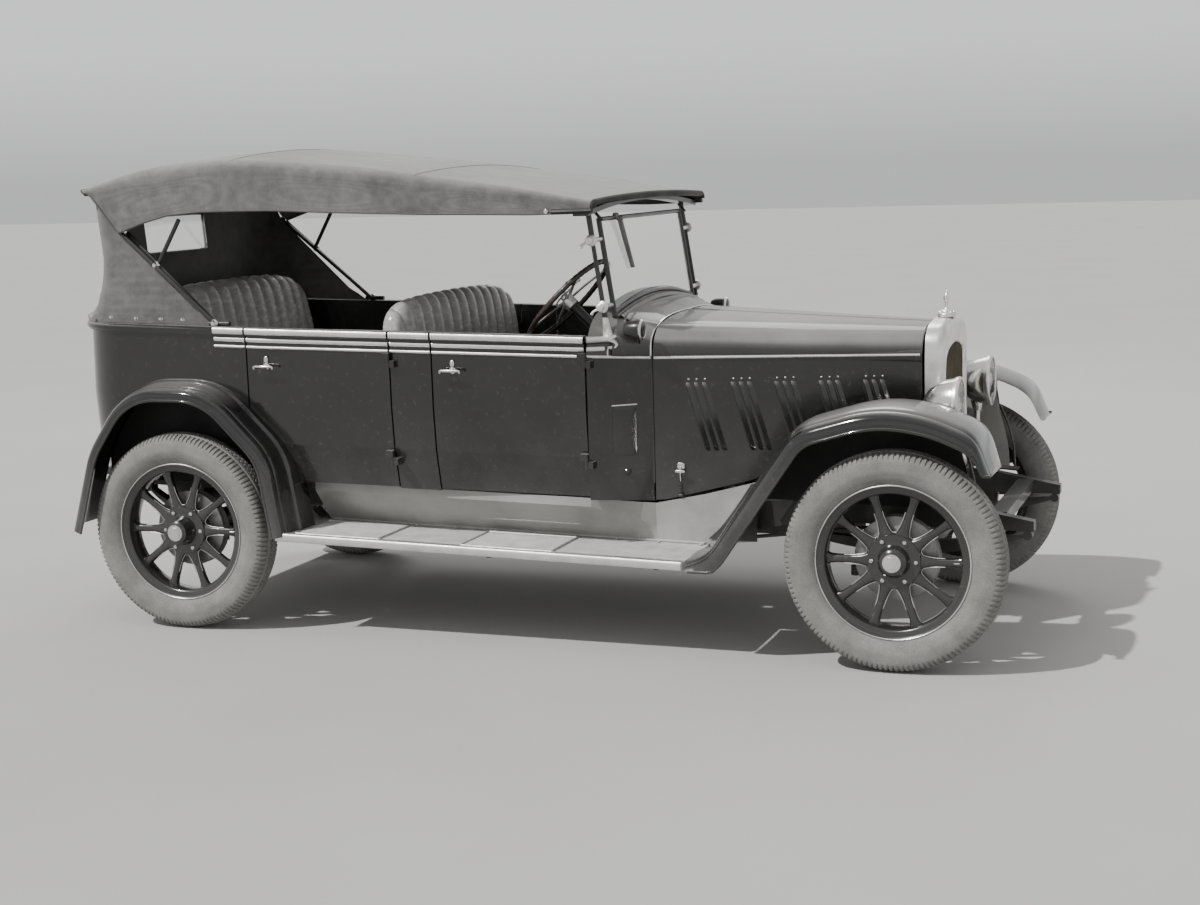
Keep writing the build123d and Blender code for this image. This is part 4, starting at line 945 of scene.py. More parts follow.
def curtainShape(points, wall):
    # The grid without the faces inside the window; the normals turn away from an upright line inside the car.
    normal = gridNormals(points)
    flatOut = (points - np.array([frontAxle - 2.8, 0, 0])) * [1, 1, 0]
    normal *= np.sign((normal * flatOut).sum(-1, keepdims=True))
    nu, nv = points.shape[:2]
    y0, y1, z0, z1 = curtain["window"]
    low, high = curtain["levels"].index(z0), curtain["levels"].index(z1)
    onSide = (points[low, :, 0] > frontAxle - 3.1) * 1e3
    first, last = (int(np.argmin(np.abs(points[low, :, 1] * 1000 - y) + onSide)) for y in (y0, y1))
    quads = gridFaces(nu, nv)
    rowOf, colOf = quads[:, 0] // nv, quads[:, 0] % nv
    inside = (rowOf >= low) & (rowOf < high) & (colOf >= first) & (colOf < last)
    index = np.arange(nu * nv).reshape(nu, nv)
    return walled(points, normal, wall, quads[~inside],
                  [loopOf(index), loopOf(index[low:high + 1, first:last + 1])])


curtainPoints = curtainGrid()
curtainSheet = rootPiece("hoodBack", [curtainShape(curtainPoints, hood["cloth"])], "hoodCanvas",
                         "hood_canvas", "hood_back")
wy0, wy1, wz0, wz1 = curtain["window"]
print("hood ready")

# Body sides, as distances from the middle along the car, for everything that lies on them
bodyPlan = {"x": (-3112, -2450, -1147, -945, 10), "y": (671.4, 690, 632, 482, 250)}
# Level, half height, proud
belt = {"topRail": (1134, 15.5, 15.5), "middleRail": (1101, 8.5, 6.0), "lowRail": (1074, 5.5, 6.5)}
trimLean = 0.0253


def sideOf(x):
    return np.interp(x, bodyPlan["x"], bodyPlan["y"])


def carried(path, outward, profile, up=(0, 0, 1.0)):
    # Half round strip: a profile of (outwards, upwards) offsets carried along a path, closed behind.
    profile = np.asarray(profile, float)
    rows = path[:, None] + outward[:, None] * profile[None, :, :1] + np.asarray(up) * profile[None, :, 1:]
    return solid(rows)


def halfRound(high, proud, sunk=0.003, count=9, square=0.75):
    # Half an ellipse, squared a little: signed powers of the sine and cosine.
    a = np.linspace(-math.pi / 2, math.pi / 2, count)
    face = np.stack([proud * np.cos(a) ** square, high * signedPower(np.sin(a), square)], 1)
    return np.concatenate([[[-sunk, -high]], face, [[-sunk, high]]])


def outFrom(path, away):
    # Level directions square to a path, on the side that the vectors in away point to.
    out = unit(np.cross(np.gradient(path, axis=0), [0, 0, 1.0]))
    return out * np.sign((out * away).sum(1, keepdims=True))


def sideStrip(x0, x1, level, high, proud, count=24):
    # Strip along the right side between two stations, level in the body's own stance.
    x = np.linspace(x0, x1, count)
    path = at(x, -sideOf(x), level(x) if callable(level) else raked(x, level))
    return carried(path, outFrom(path, np.array([0, -1, 0])), halfRound(high / 1000, proud / 1000))


def lowLine(x):
    return np.interp(x, [-3112, -1147, -945, 10], [raked(-3112, 1074), 1074, 1056, 1048])


def onBody(name, shape, finish, body, slot, **options):
    # The right-hand piece and its mirror image, each on its own side's body.
    for side, sign in sides.items():
        piece(f"{name}{side.title()}", shape if sign < 0 else mirrored(shape), finishes[finish],
              f"{body}_{side}", slot, **options)


def threeLines(x0, x1, count=24):
    return [sideStrip(x0, x1, *belt["topRail"], count), sideStrip(x0, x1, *belt["middleRail"], count),
            sideStrip(x0, x1, lowLine, *belt["lowRail"][1:], count)]


doorSpans = {"door_front": (-1151, -1746), "door_rear": (-1924, -2516)}
for body, span in doorSpans.items():
    onBody(body.replace("_", "") + "Mouldings", joined(threeLines(*span)), "alloyEdge", body, "bright_plate")
onBody("bonnetMoulding", sideStrip(2, -935, lowLine, *belt["lowRail"][1:]), "alloyEdge", "bonnet",
       "bright_plate")
fixedLines = threeLines(-1754, -1916, 6) + threeLines(-2524, -2660, 6)
fixedLines.append(sideStrip(-948, -1143, lowLine, *belt["lowRail"][1:], count=12))

# The top rail curls over at its front end on the scuttle, and the middle rail stops in a round end under it
curl = smoothCurve([(-1143, 1135), (-1110, 1135), (-1076, 1134), (-1058, 1127), (-1050, 1114), (-1056, 1104),
                    (-1066, 1103), (-1068, 1110)], 40)
curlPath = at(curl[:, 0], -sideOf(curl[:, 0]) - 1, curl[:, 1] - trimLean * (curl[:, 0] + stance["pivot"]))
curlRadius = np.interp(np.arange(40), [0, 18, 30, 39], [0.0125, 0.0085, 0.0065, 0.0075])
fixedLines.append(tube(curlPath, curlRadius, 12))
fixedLines.append(sideStrip(-1088, -1143, *belt["middleRail"], count=6))
upright = np.array([(-1078, 1070), (-1078, 1092), (-1074, 1106)])
fixedLines.append(tube(at(upright[:, 0], -sideOf(upright[:, 0]), upright[:, 1]), 0.004, 8))
rootPair("beltMouldings", fixedLines, "alloyEdge", "bright_plate")

# Round the back, one rounded rail under the hood's foot
backPlan = roundedLine([(-2662, -681.6), (-3342, -665), (-3342, 665), (-2662, 681.6)], [230, 230], 30)
backPath = at(backPlan[:, 0], backPlan[:, 1], raked(backPlan[:, 0], 1134))
backOut = outFrom(backPath, (backPath - at(-2500, 0, 1134)) * [1, 1, 0])
rootPiece("quarterRail", [carried(backPath, backOut, halfRound(0.0155, 0.0145))], "bodyPaint", "body_paint")

# Door handles: a bar with turned-down ends under a small domed keyhole cover
handles = {"front": (-1666, 1022), "rear": (-2433, 1035)}


def handleShape(x, z):
    y = -float(sideOf(x))
    bend = smoothCurve([(x - 40, y - 30, z - 9), (x - 38, y - 31, z), (x - 20, y - 33, z + 1),
                        (x, y - 34, z + 1), (x + 20, y - 33, z + 1), (x + 38, y - 31, z),
                        (x + 40, y - 30, z - 9)], 30) / 1000 + [frontAxle, 0, 0]
    bar = tube(bend, np.interp(np.arange(30), [0, 3, 14, 26, 29], [0.0036, 0.0048, 0.0062, 0.0048, 0.0036]),
               12)
    stem = onAxle([(0.013, 0), (0.013, 0.002), (0.0075, 0.005), (0.0065, 0.012), (0.006, 0.033), (0, 0.035)],
                  20, at(x, y, z))
    rose = onAxle([(0.012, 0), (0.0115, 0.002), (0.009, 0.004), (0, 0.0045)], 28, at(x, y, z))
    cover = pillow(at(x, y - 3, z + 24), (0.019, 0.012, 0.030), 0.8, 16, 9)
    return joined([bar, stem, rose, cover])


for end in ("front", "rear"):
    onBody(f"door{end.title()}Handle", handleShape(*handles[end]), "nickel", f"door_{end}", "bright_plate")

# Bonnet louvres: leaning scoops in groups of three, each rising slowly and falling away at its rear edge
louvres = {"starts": (-815, -655, -500, -344, -188), "pitch": 29, "inGroup": 3, "low": 708, "high": 962,
           "lean": 70, "width": 17, "proud": 7.5, "slot": 7}


def louvreGrid(x, s, across, lift):
    # Length s runs up the bonnet and leans back; lift is the height off the panel in millimetres
    xx = x + louvres["lean"] * (1 - s) + across
    z = louvres["low"] + (louvres["high"] - louvres["low"]) * s + 0 * across
    return surface(at(xx, -(sideOf(xx) + lift), z))


def louvreShape(x):
    # A slow rise and a quick fall across the width, closed at both ends
    s = np.linspace(0, 1, 30)[:, None]
    w = np.array([0, 0.12, 0.3, 0.5, 0.7, 0.86, 0.95, 1.0])[None, :]
    ends = np.clip(np.minimum(s, 1 - s) / 0.05, 0, 1) ** 0.5
    lift = ends * np.interp(w, [0, 0.5, 0.86, 0.97, 1.0], [0, 0.6, 1.0, 0.9, -0.15])
    return louvreGrid(x, s, louvres["width"] * (0.5 - w), louvres["proud"] * lift - 0.4)


def slotShadeShape(x):
    # Narrow dark strip along the open edge of a louvre: painted shade for the shadowed opening
    w = np.array([-0.5, -0.25, 0.25, 0.5])[None, :]
    across = -louvres["width"] * 0.5 - louvres["slot"] * (0.5 + w)
    return louvreGrid(x, np.linspace(0.03, 0.97, 20)[:, None], across, np.array([-0.3, 0.7, 0.7, -0.3]))


def rivetShape(x):
    return lathe([(0.0045, -0.001), (0.0042, 0.0012), (0.0025, 0.0028), (0, 0.0032)],
                 at(x + 2, -sideOf(x + 2), louvres["high"] + 12), (0.236, -0.97, 0), 10)


spots = [start + k * louvres["pitch"] for start in louvres["starts"] for k in range(louvres["inGroup"])]
onBody("bonnetLouvres", joined([louvreShape(x) for x in spots]), "bodyPaint", "bonnet", "body_paint",
       outward=False)
onBody("bonnetSlotShade", joined([slotShadeShape(x) for x in spots]), "hoodIron", "bonnet", "body_paint",
       outward=False)
onBody("bonnetRivets", joined([rivetShape(x) for x in spots]), "nickel", "bonnet", "bright_plate")
print("mouldings, handles and louvres ready")

# Pressed skins over the round shoulders: at each station a high-powered ellipse from the side up to the ridge
hoodStations = {"x": (-1100, -945, -939, 10), "half": (612.4, 482, 480, 250),
                "shoulder": (1075.8, 1062, 1062, 1020), "crown": (1261, 1198, 1196, 1148),
                "power": (2.55, 3.05, 3.1, 3.1), "proud": 1.4}


def shoulderSkin(x0, x1, middle, rows=40, columns=60):
    x = np.linspace(x0, x1, rows)[:, None]
    half, shoulder, crown, power = (np.interp(x, hoodStations["x"], hoodStations[key])
                                    for key in ("half", "shoulder", "crown", "power"))
    a = np.linspace(0.0, 1.0, columns)[None, :] ** 1.3
    y = half * (1 - a * (1 - middle / half))
    rise = (1 - (y / half).clip(0, 1) ** power).clip(0, 1) ** (1 / power)
    z = shoulder + (crown - shoulder) * rise
    lift = hoodStations["proud"] * np.array([1.0, 0.2])[:, None, None]
    edge = np.clip(a / 0.02, 0.3, 1)
    outer = at(x + 0 * y, -(y + lift[0] * edge), z + lift[0] * edge * (a > 0))
    under = at(x + 0 * y, -(y + lift[1]), z + lift[1])
    return solid(np.concatenate([outer, under[:, ::-1]], 1))


onBody("bonnetSkin", shoulderSkin(-936, 7, 10), "bodyPaint", "bonnet", "body_paint")
jointX, jointZ = np.meshgrid([-949.0, -945.0, -941.0], np.linspace(596, 1064, 12), indexing="ij")
jointSide = surface(at(jointX, -(sideOf(jointX) + 0.8), raked(jointX, jointZ)))
rootPair("scuttleJoint", [jointSide], "bodyPaint", "body_paint", outward=False)
rootPair("scuttleBead", [shoulderSkin(-948, -943.5, 0.5, 3)], "nickel", "bright_plate")
rootPair("scuttleSkin", [shoulderSkin(-1062, -948, 0.5, 16)], "bodyPaint", "body_paint")

# Bonnet catches near the rear lower corners, the vent lid on the scuttle and the small knob below it
catch = {"x": -846, "z": 600}


def catchShape():
    x, z = catch["x"], catch["z"]
    y = -float(sideOf(x))
    hook = tube(at([x, x, x + 1, x], [y - 4, y - 15, y - 17, y - 10], [z + 52, z + 44, z + 22, z - 2]),
                0.0035, 10)
    spring = tube(at(x + 6.5 * np.cos(np.linspace(0, 22, 90)), y - 12 + 6.5 * np.sin(np.linspace(0, 22, 90)),
                     z + np.linspace(-2, -52, 90)), 0.0016, 6)
    grip = pillow(at(x, y - 16, z + 34), (0.040, 0.010, 0.012), 0.6, 16, 8)
    plate = pillow(at(x, y - 3, z + 52), (0.030, 0.010, 0.026), 0.5, 16, 8)
    foot = pillow(at(x, y - 8, z - 56), (0.022, 0.024, 0.012), 0.5, 16, 8)
    return joined([hook, grip, plate]), joined([spring, foot])


onBody("bonnetCatch", catchShape()[0], "nickel", "bonnet", "bright_plate")
rootPair("catchSprings", [catchShape()[1]], "iron", "bright_plate")

vent = {"x": (-1068, -994), "z": (700, 884)}


def scuttlePanel(x0, x1, z0, z1, proud):
    # Thin raised panel with rounded corners lying on the scuttle's side.
    a = fullTurn(48)
    cx, cz, hx, hz = (x0 + x1) / 2, (z0 + z1) / 2, (x1 - x0) / 2, (z1 - z0) / 2
    rows = []
    for share, lift in ((1, -0.5), (1, proud), (0.965, proud + 0.8), (0.0, proud + 0.8)):
        xx = cx + hx * share * signedPower(np.cos(a), 0.22)
        zz = cz + hz * share * signedPower(np.sin(a), 0.22)
        rows.append(at(xx, -(sideOf(xx) + lift), zz))
    return surface(np.stack(rows), wrapV=True)


rootPair("scuttleVent", [scuttlePanel(*vent["x"], *vent["z"], 1.6)], "bodyPaint", "body_paint")
ventHinge = tube(at([-1070, -992], -sideOf([-1070, -992]) - 3, [888, 888]), 0.0034, 10)
rootPair("ventHinge", [ventHinge], "nickel", "bright_plate")
knob = lathe([(0.013, 0), (0.013, 0.004), (0.009, 0.009), (0, 0.010)], at(-1026, -float(sideOf(-1026)), 640),
             (0.6, -0.8, 0), 20)
rootPair("scuttleKnob", [knob], "hoodIron", "chassis_paint")

# Seats: pleated hide over a closed section, drawn in towards both ends
seats = {"pleat": 0.085, "depth": 0.028}


def pleatedPad(outline, half, pleatFrom, pleatTo, along=150, endPower=7.0, crown=0.0):
    # A closed section of (x, level) points; across the car it shrinks towards its middle by a high power near
    # the ends. Pleats push the skin in by one minus a root of a sine, over part of the section.
    section = smoothCurve(np.vstack([outline, outline[:1]]), 72)[:-1]
    middle = section.mean(0)
    y = np.sin(np.linspace(-math.pi / 2, math.pi / 2, along)) * half
    y = 0.75 * np.linspace(-half, half, along) + 0.25 * y
    keep = (1 - np.abs(y / half) ** endPower).clip(0, 1) ** (1 / endPower)
    keep = np.maximum(keep, 0.02)[:, None]
    slope = np.roll(section, -1, 0) - np.roll(section, 1, 0)
    normal = unit(np.stack([slope[:, 1], -slope[:, 0]], 1))
    if ((section - middle) * normal).sum() < 0:
        normal = -normal
    s = np.arange(len(section)) / len(section)
    mask = np.clip((s - pleatFrom) / 0.03, 0, 1) * np.clip((pleatTo - s) / 0.03, 0, 1)
    groove = 1 - np.abs(np.sin(math.pi * y / 1000 / seats["pleat"])) ** 0.45
    sink = groove[:, None] * mask[None, :] * seats["depth"] * 1000 * (np.abs(y)[:, None] < half - 45)
    lift = crown * (1 - (y / half) ** 2)[:, None] * np.clip((section[:, 1] - middle[1]) / 150, 0, 1)[None, :]
    x = middle[0] + (section[None, :, 0] - middle[0]) * keep - normal[None, :, 0] * sink
    z = middle[1] + (section[None, :, 1] - middle[1]) * keep - normal[None, :, 1] * sink + lift
    return solid(at(x, np.broadcast_to(y[:, None], x.shape), raked(x, z)))


frontBack = [(-1976, 552), (-1905, 556), (-1889, 640), (-1884, 860), (-1890, 1000), (-1903, 1120),
             (-1921, 1208), (-1951, 1242), (-1990, 1234), (-2006, 1180), (-2002, 1000), (-1990, 760)]
rearBack = [(-2992, 552), (-2892, 556), (-2874, 640), (-2864, 860), (-2880, 1000), (-2902, 1120),
            (-2932, 1230), (-2978, 1268), (-3030, 1256), (-3046, 1180), (-3030, 1000), (-3010, 760)]
frontBase = [(-1872, 552), (-1660, 549), (-1452, 556), (-1438, 640), (-1436, 790), (-1452, 852),
             (-1520, 868), (-1660, 862), (-1800, 852), (-1868, 838), (-1878, 700)]
rearBase = np.array(frontBase) - [970, 0]
for name, outline, half, span, crown, node in (
        ("frontSquab", frontBack, 584, (0.20, 0.66), 16, "front_seat_back"),
        ("rearSquab", rearBack, 566, (0.20, 0.66), 16, "rear_seat_back"),
        ("frontCushion", frontBase, 526, (0.36, 0.86), 8, "front_seat_cushion"),
        ("rearCushion", rearBase, 526, (0.36, 0.86), 8, "rear_seat_cushion")):
    pad = rootPiece(name, [pleatedPad(outline, half, *span, crown=crown)], "seatLeatherPaintedLight", "seat_leather",
                    node)
print("seats ready")

# Windscreen: tapered castings at the feet whose upper parts take the dark finish as painted shade, slim dark
# posts, clamp wheels and an arched frame
screen = {"foot": (-1085, -556, 1158), "head": (-1149, -552, 1600), "clamps": (1250, 1492),
          "wiperTop": (-1118, -295, 1558), "wiperLow": (-1098, -219, 1373)}


def screenX(z):
    (x0, _, z0), (x1, _, z1) = screen["foot"], screen["head"]
    return x0 + (x1 - x0) * (z - z0) / (z1 - z0)


def castingGrid():
    # Flattened round bar whose width narrows from the foot to the upper clamp.
    z = np.concatenate([np.linspace(1128, 1190, 8), np.linspace(1210, 1500, 20)])
    x = screenX(z) - np.interp(z, [1128, 1160, 1200], [2, 0, 0])
    wide = np.interp(z, [1128, 1146, 1165, 1195, 1230, 1500], [23, 21, 15, 11.5, 9, 8]) / 1000
    around = fullTurn(28)
    ring = np.stack([np.cos(around)[None] * wide[:, None] * 1.05,
                     np.sin(around)[None] * wide[:, None] * 0.62, 0 * around[None] * wide[:, None]], -1)
    return at(x, screen["foot"][1] + 0 * z, z)[:, None] + ring


clamps = []
for z in screen["clamps"]:
    x = float(screenX(z))
    clamps.append(onAxle([(0, -0.002), (0.020, 0), (0.022, 0.006), (0.017, 0.011), (0.010, 0.013),
                          (0.009, 0.026), (0.0135, 0.030), (0.0135, 0.038), (0.008, 0.041), (0, 0.042)], 30,
                         at(x + 3, -568, z)))
    clamps.append(straight(at(x + 4, -566, z), at(x + 7, -486, z), 0.0085, 3, 14))
    clamps.append(tube(at([x - 6, x - 24, x - 30], [-596, -600, -600], [z - 6, z - 16, z - 26]),
                       [0.005, 0.0045, 0.0065], 10))
casting = castingGrid()
footRows = 9
castingFoot = solid(casting[:footRows])
# Upper part of the casting in the dark finish: painted shade, the casting darkening towards the top
castingUpperShaded = solid(casting[footRows - 1:])
footDisc = lathe([(0, 0.001), (0.033, 0.001), (0.034, 0.006), (0.028, 0.011), (0.022, 0.013), (0, 0.014)],
                 at(-1083, -556, 1134), (0, -0.2, 1), 32)
rootPair("screenCastings", [castingFoot, footDisc] + clamps, "alloyEdge", "bright_plate")
postTop = straight(at(float(screenX(1490)), -554, 1490), at(float(screenX(1608)), -552, 1608), 0.0105, 4, 18)
stay = straight(at(-1142, -500, 1592), at(-1113, -500, 1560), 0.006, 2, 10)
rootPair("screenPosts", [castingUpperShaded, postTop, stay], "hoodIron", "bright_plate")


def scuttleTop(x, y):
    # Height of the scuttle's top: the crown rises to the rear and falls with the square of the distance.
    t = (-945 - np.asarray(x, float)) / 202
    crown, half = 1198 + 82 * t, 482 + 150 * t
    fall = np.interp(t, [0, 1], [0.14, 0.26]) * (crown - 1062 - 18 * t)
    return crown - fall * (y / (0.72 * half)) ** 2


# Arched rail of the frame, the rubber under it and the roll on the scuttle in front of it
def archPath(dx, dz):
    y = np.linspace(-470, 470, 60)
    return at(-1085 + dx + 0 * y, y, scuttleTop(-1085 + dx, y) + dz)


barY = 478
headRail = at(float(screenX(1566)) + 9, [-barY, barY], 1564)
frameBars = [tube(archPath(0, 15), 0.0085, 10)]
for y in (-barY, barY):
    frameBars.append(straight(at(float(screenX(1196)) + 9, y, 1206), at(float(screenX(1570)) + 9, y, 1568),
                              0.0100, 6, 12))
frameBars.append(straight(*headRail, 0.0085, 6, 12))
rootPiece("screenFrame", frameBars, "hoodIron", "bright_plate", "windscreen_frame")
rootPiece("scuttleRolls", [tube(archPath(24, 1), 0.0125, 12), tube(archPath(48, 0), 0.0080, 10)],
          "bodyPaint", "body_paint")
rootPiece("screenSeal", [tube(archPath(9, 2), 0.009, 8)], "tyreRubber", "tyre_rubber")
wiperTop, wiperLow = at(*screen["wiperTop"]), at(*screen["wiperLow"])
wiper = [tube(np.linspace(wiperTop, wiperLow, 12), np.interp(np.arange(12), [0, 11], [0.0055, 0.0048]), 8,
              flatten=2.0),
         straight(wiperTop + [0.012, 0, 0.004], wiperTop + [-0.012, 0, 0.004], 0.008, 2, 12),
         pillow(wiperTop + np.array([-0.016, 0, 0.012]), (0.020, 0.034, 0.026), 0.6, 14, 8)]
rootPiece("screenWiper", wiper, "tyreRubber", "tyre_rubber")
print("windscreen ready")

# Cowl lamps and headlamps: turned bowls with bright rims, a ribbed lens and a bulb behind it
x, y, z = -985, -545, 1165


def lampPart(outline, around=40):
    return lathe(outline, at(x, y, z), (1, 0, 0), around)


darkBowl = lampPart([(0, -0.040), (0.014, -0.039), (0.024, -0.034), (0.030, -0.020), (0.0335, 0.006),
                     (0.0345, 0.026), (0.033, 0.030), (0, 0.030)])
bracket = tube(at([x, x, x - 2, x - 4], [y + 22, y + 34, y + 46, y + 62], [z - 22, z - 40, z - 56, z - 66]),
               [0.011, 0.009, 0.010, 0.014], 14)
lampRim = lampPart([(0.0290, 0.026), (0.0355, 0.0255), (0.0372, 0.0290), (0.0355, 0.0335), (0.0310, 0.0350),
                    (0.0290, 0.0340)])
lampLens = lampPart([(0.0300, 0.0335), (0.022, 0.0365), (0.010, 0.0380), (0, 0.0383)], 32)
rootPair("cowlLampBodies", [darkBowl, bracket], "hoodIron", "bright_plate", "cowl_lamps")
rootPair("cowlLampRims", [lampRim], "nickel", "bright_plate")
rootPair("cowlLampLenses", [lampLens], "lampGlass", "clear_glass", outward=False)

headlamp = {"rim": (172, -362, 885), "lens": 0.0895, "ribs": 26}
lampCentre = at(*headlamp["rim"])
bowl = lathe([(0, -0.1395), (0.014, -0.138), (0.034, -0.130), (0.056, -0.112), (0.074, -0.086),
              (0.086, -0.058), (0.0925, -0.034), (0.0945, -0.022), (0.0945, -0.016), (0.0925, -0.0155),
              (0.088, -0.032), (0.066, -0.084), (0, -0.126)], lampCentre, (1, 0, 0), 72)
rimBead = lathe([(0.0885, -0.024), (0.0960, -0.0225), (0.0978, -0.0170), (0.0985, -0.0110),
                 (0.0980, -0.0060), (0.0955, -0.0020), (0.0915, -0.0010), (0.0880, -0.0040),
                 (0.0880, -0.010)], lampCentre, (1, 0, 0), 72)
lensRadius = np.linspace(headlamp["lens"], 0, 14)
lens = lathe(np.stack([lensRadius, -0.006 + 0.007 * (1 - (lensRadius / headlamp["lens"]) ** 2)], 1),
             lampCentre, (1, 0, 0), 72)
lens[0][:, 0] += 0.0006 * np.cos((lens[0][:, 1] - lampCentre[1]) * 2 * math.pi * headlamp["ribs"] / 0.18)
bulb = pillow(lampCentre + np.array([-0.055, 0, 0]), (0.034, 0.026, 0.026), 1.0, 16, 10)
postFoot = float(raked(88, 565)) + 1
post = tube(at([109, 108, 108, 108], [-366, -368, -372, -372], [822, 790, 700, postFoot]),
            [0.016, 0.0125, 0.0125, 0.013], 18)
flange = lathe([(0, 0), (0.020, 0), (0.020, 0.006), (0.014, 0.012), (0, 0.013)], at(108, -372, postFoot),
               (0, 0, 1), 28)
socket = lathe([(0.013, -0.045), (0.019, -0.030), (0.024, -0.010), (0.026, 0.012), (0, 0.03)],
               at(109, -367, 812), (0, 0.05, 1), 24)
rootPair("headlampBowls", [bowl, post, flange, socket], "nickel", "bright_plate", "headlamps")
rootPair("headlampRims", [rimBead], "shellNickel", "bright_plate")
rootPair("headlampLenses", [lens], "lampGlass", "clear_glass", outward=False)
rootPair("headlampBulbs", [bulb], "lampGlass", "clear_glass")
print("lamps ready")

# Steering wheel: round rim, four flat spokes that widen to the rim, boss, quadrant and its two levers
steering = {"top": (-1293.42, -350, 1235.16), "angle": 44, "radius": 0.203, "rim": 0.0105, "fingers": 48}
tilt = math.radians(steering["angle"])
downColumn = np.array([math.cos(tilt), 0, -math.sin(tilt)])
wheelUp, wheelSide = np.array([math.sin(tilt), 0, math.cos(tilt)]), np.array([0, 1.0, 0])
wheelHub = at(*steering["top"]) - downColumn * 0.030


def wheelPoint(radius, angle, out=0.0):
    radius, angle = np.asarray(radius, float)[..., None], np.asarray(angle, float)[..., None]
    inPlane = wheelSide * radius * np.cos(angle) + wheelUp * radius * np.sin(angle)
    return wheelHub + inPlane - downColumn * np.asarray(out)[..., None]


turnAngle = fullTurn(192)
rimThick = steering["rim"] - 0.0010 * (np.abs(np.sin(turnAngle * steering["fingers"] / 2)) < 0.25)
rimShape = tube(wheelPoint(np.full(192, steering["radius"]), turnAngle), rimThick, 16, closed=True)
spokesShape = []
for number in range(4):
    a = math.pi / 4 + number * math.pi / 2
    r = np.linspace(0.018, steering["radius"] - 0.004, 16)
    path = wheelPoint(r, np.full(16, a), 0.001 + 0.004 * np.sin(math.pi * r / 0.212))
    across = -wheelSide * math.sin(a) + wheelUp * math.cos(a)
    wide = np.interp(r, [0.018, 0.06, 0.15, 0.19, 0.21], [0.0135, 0.0100, 0.0090, 0.0115, 0.018])
    ring = fullTurn(14)
    broad = across * (np.cos(ring)[None, :, None] * wide[:, None, None])
    rows = path[:, None] + broad - downColumn * (np.sin(ring)[None, :, None] * 0.0040)
    spokesShape.append(solid(rows))
boss = lathe([(0.0185, -0.034), (0.0265, -0.030), (0.0270, 0.004), (0.0215, 0.010), (0.0160, 0.014),
              (0.0150, 0.026), (0.011, 0.030), (0, 0.031)], wheelHub, -downColumn, 36)
quadrant = [lathe([(0.046, 0.016), (0.048, 0.018), (0.046, 0.0205), (0.040, 0.0205), (0.040, 0.016)],
                  wheelHub, -downColumn, 40, (0.3, math.pi - 0.3 + 2.2))]
for a, long in ((0.9, 0.085), (2.3, 0.090)):
    quadrant.append(tube(wheelPoint([0.012, 0.045, long], [a, a, a + 0.05], np.array([0.026, 0.030, 0.032])),
                         [0.0034, 0.003, 0.003], 8))
    quadrant.append(pillow(wheelPoint(long + 0.004, a + 0.05, 0.033), (0.014, 0.014, 0.014), 1.0, 12, 8))
piece("steeringRim", rimShape, finishes["rimWood"], "steering_wheel", "dark_wood", ("steering_wheel",))
piece("steeringSpokes", joined(spokesShape + [boss] + quadrant), finishes["alloyEdge"], "steering_wheel",
      "bright_plate")

# Radiator: a shell rolled inwards round an arched opening, a honeycomb core and a turned cap
radiator = {"half": 253, "base": 560, "shoulder": 1030, "top": 1166, "header": 62}


def radiatorOutline(inset, count=120):
    # Straight sides, a rounded shoulder and a flat arc over the top, as an even loop of (y, z) points.
    half, low, top = radiator["half"] - inset, radiator["base"] + inset, radiator["top"] - inset
    shoulder = radiator["shoulder"] - inset / 2
    arch = np.array([(half, shoulder), (half - 14, (shoulder + top) / 2 + 6), (half - 62, top - 22),
                     ((half - 62) / 2, top - 6)])
    over = smoothCurve(np.concatenate([arch * [-1, 1], [(0, top)], arch[::-1]]), 70)
    loop = np.concatenate([[(-half, low)], over, [(half, low), (-half, low)]])
    run = np.concatenate([[0], np.cumsum(np.linalg.norm(np.diff(loop, axis=0), axis=1))])
    s = np.linspace(0, run[-1], count, endpoint=False)
    return np.stack([np.interp(s, run, loop[:, 0]), np.interp(s, run, loop[:, 1])], 1)


shellRows = []
for inset, x in ((3, 18), (0, 20), (0, 62), (1.5, 74), (6, 84), (14, 90.5), (24, 92), (34, 90), (41, 84),
                 (45, 74), (46, 60), (46, 26), (42, 20), (30, 18.5)):
    loop = radiatorOutline(inset)
    lowered = radiator["header"] * np.clip((inset - 14) / 20, 0, 1) / (radiator["top"] - radiator["base"])
    loop[:, 1] -= (loop[:, 1] - radiator["base"] - inset) * lowered
    shellRows.append(at(x + 0 * loop[:, 0], loop[:, 0], loop[:, 1]))
shellShape = surface(np.stack(shellRows), wrapU=True, wrapV=True)
ridgeRod = straight(at(-944, 0, 1194), at(21, 0, 1146), 0.0038, 2, 10)
rootPiece("radiatorShell", [shellShape, ridgeRod], "shellNickel", "bright_plate", "radiator_shell")
cellPitch = 7.5
loop = radiatorOutline(47)
coreBlock = surface(np.stack([at(x + 0 * loop[:, 0], loop[:, 0], loop[:, 1]) for x in (24, 78)]), wrapV=True,
                    caps=("first", "last"))
fins, span = [], np.arange(-200, 201, cellPitch)
for y in span:
    top = np.interp(abs(y), [0, 70, 145, 190, 205], [1115, 1110, 1094, 1060, 1000])
    fins.append(straight(at(79.5, y, 612), at(79.5, y, top), 0.0011, 2, 4))
for z in np.arange(614, 1112, cellPitch):
    wide = np.interp(z, [614, 985, 1060, 1094, 1110, 1116], [205, 205, 190, 145, 70, 10])
    fins.append(straight(at(80.0, -wide, z), at(80.0, wide, z), 0.0010, 2, 4))
rootPiece("radiatorCore", [coreBlock] + fins, "coreBrass", "core_brass", "radiator_core")
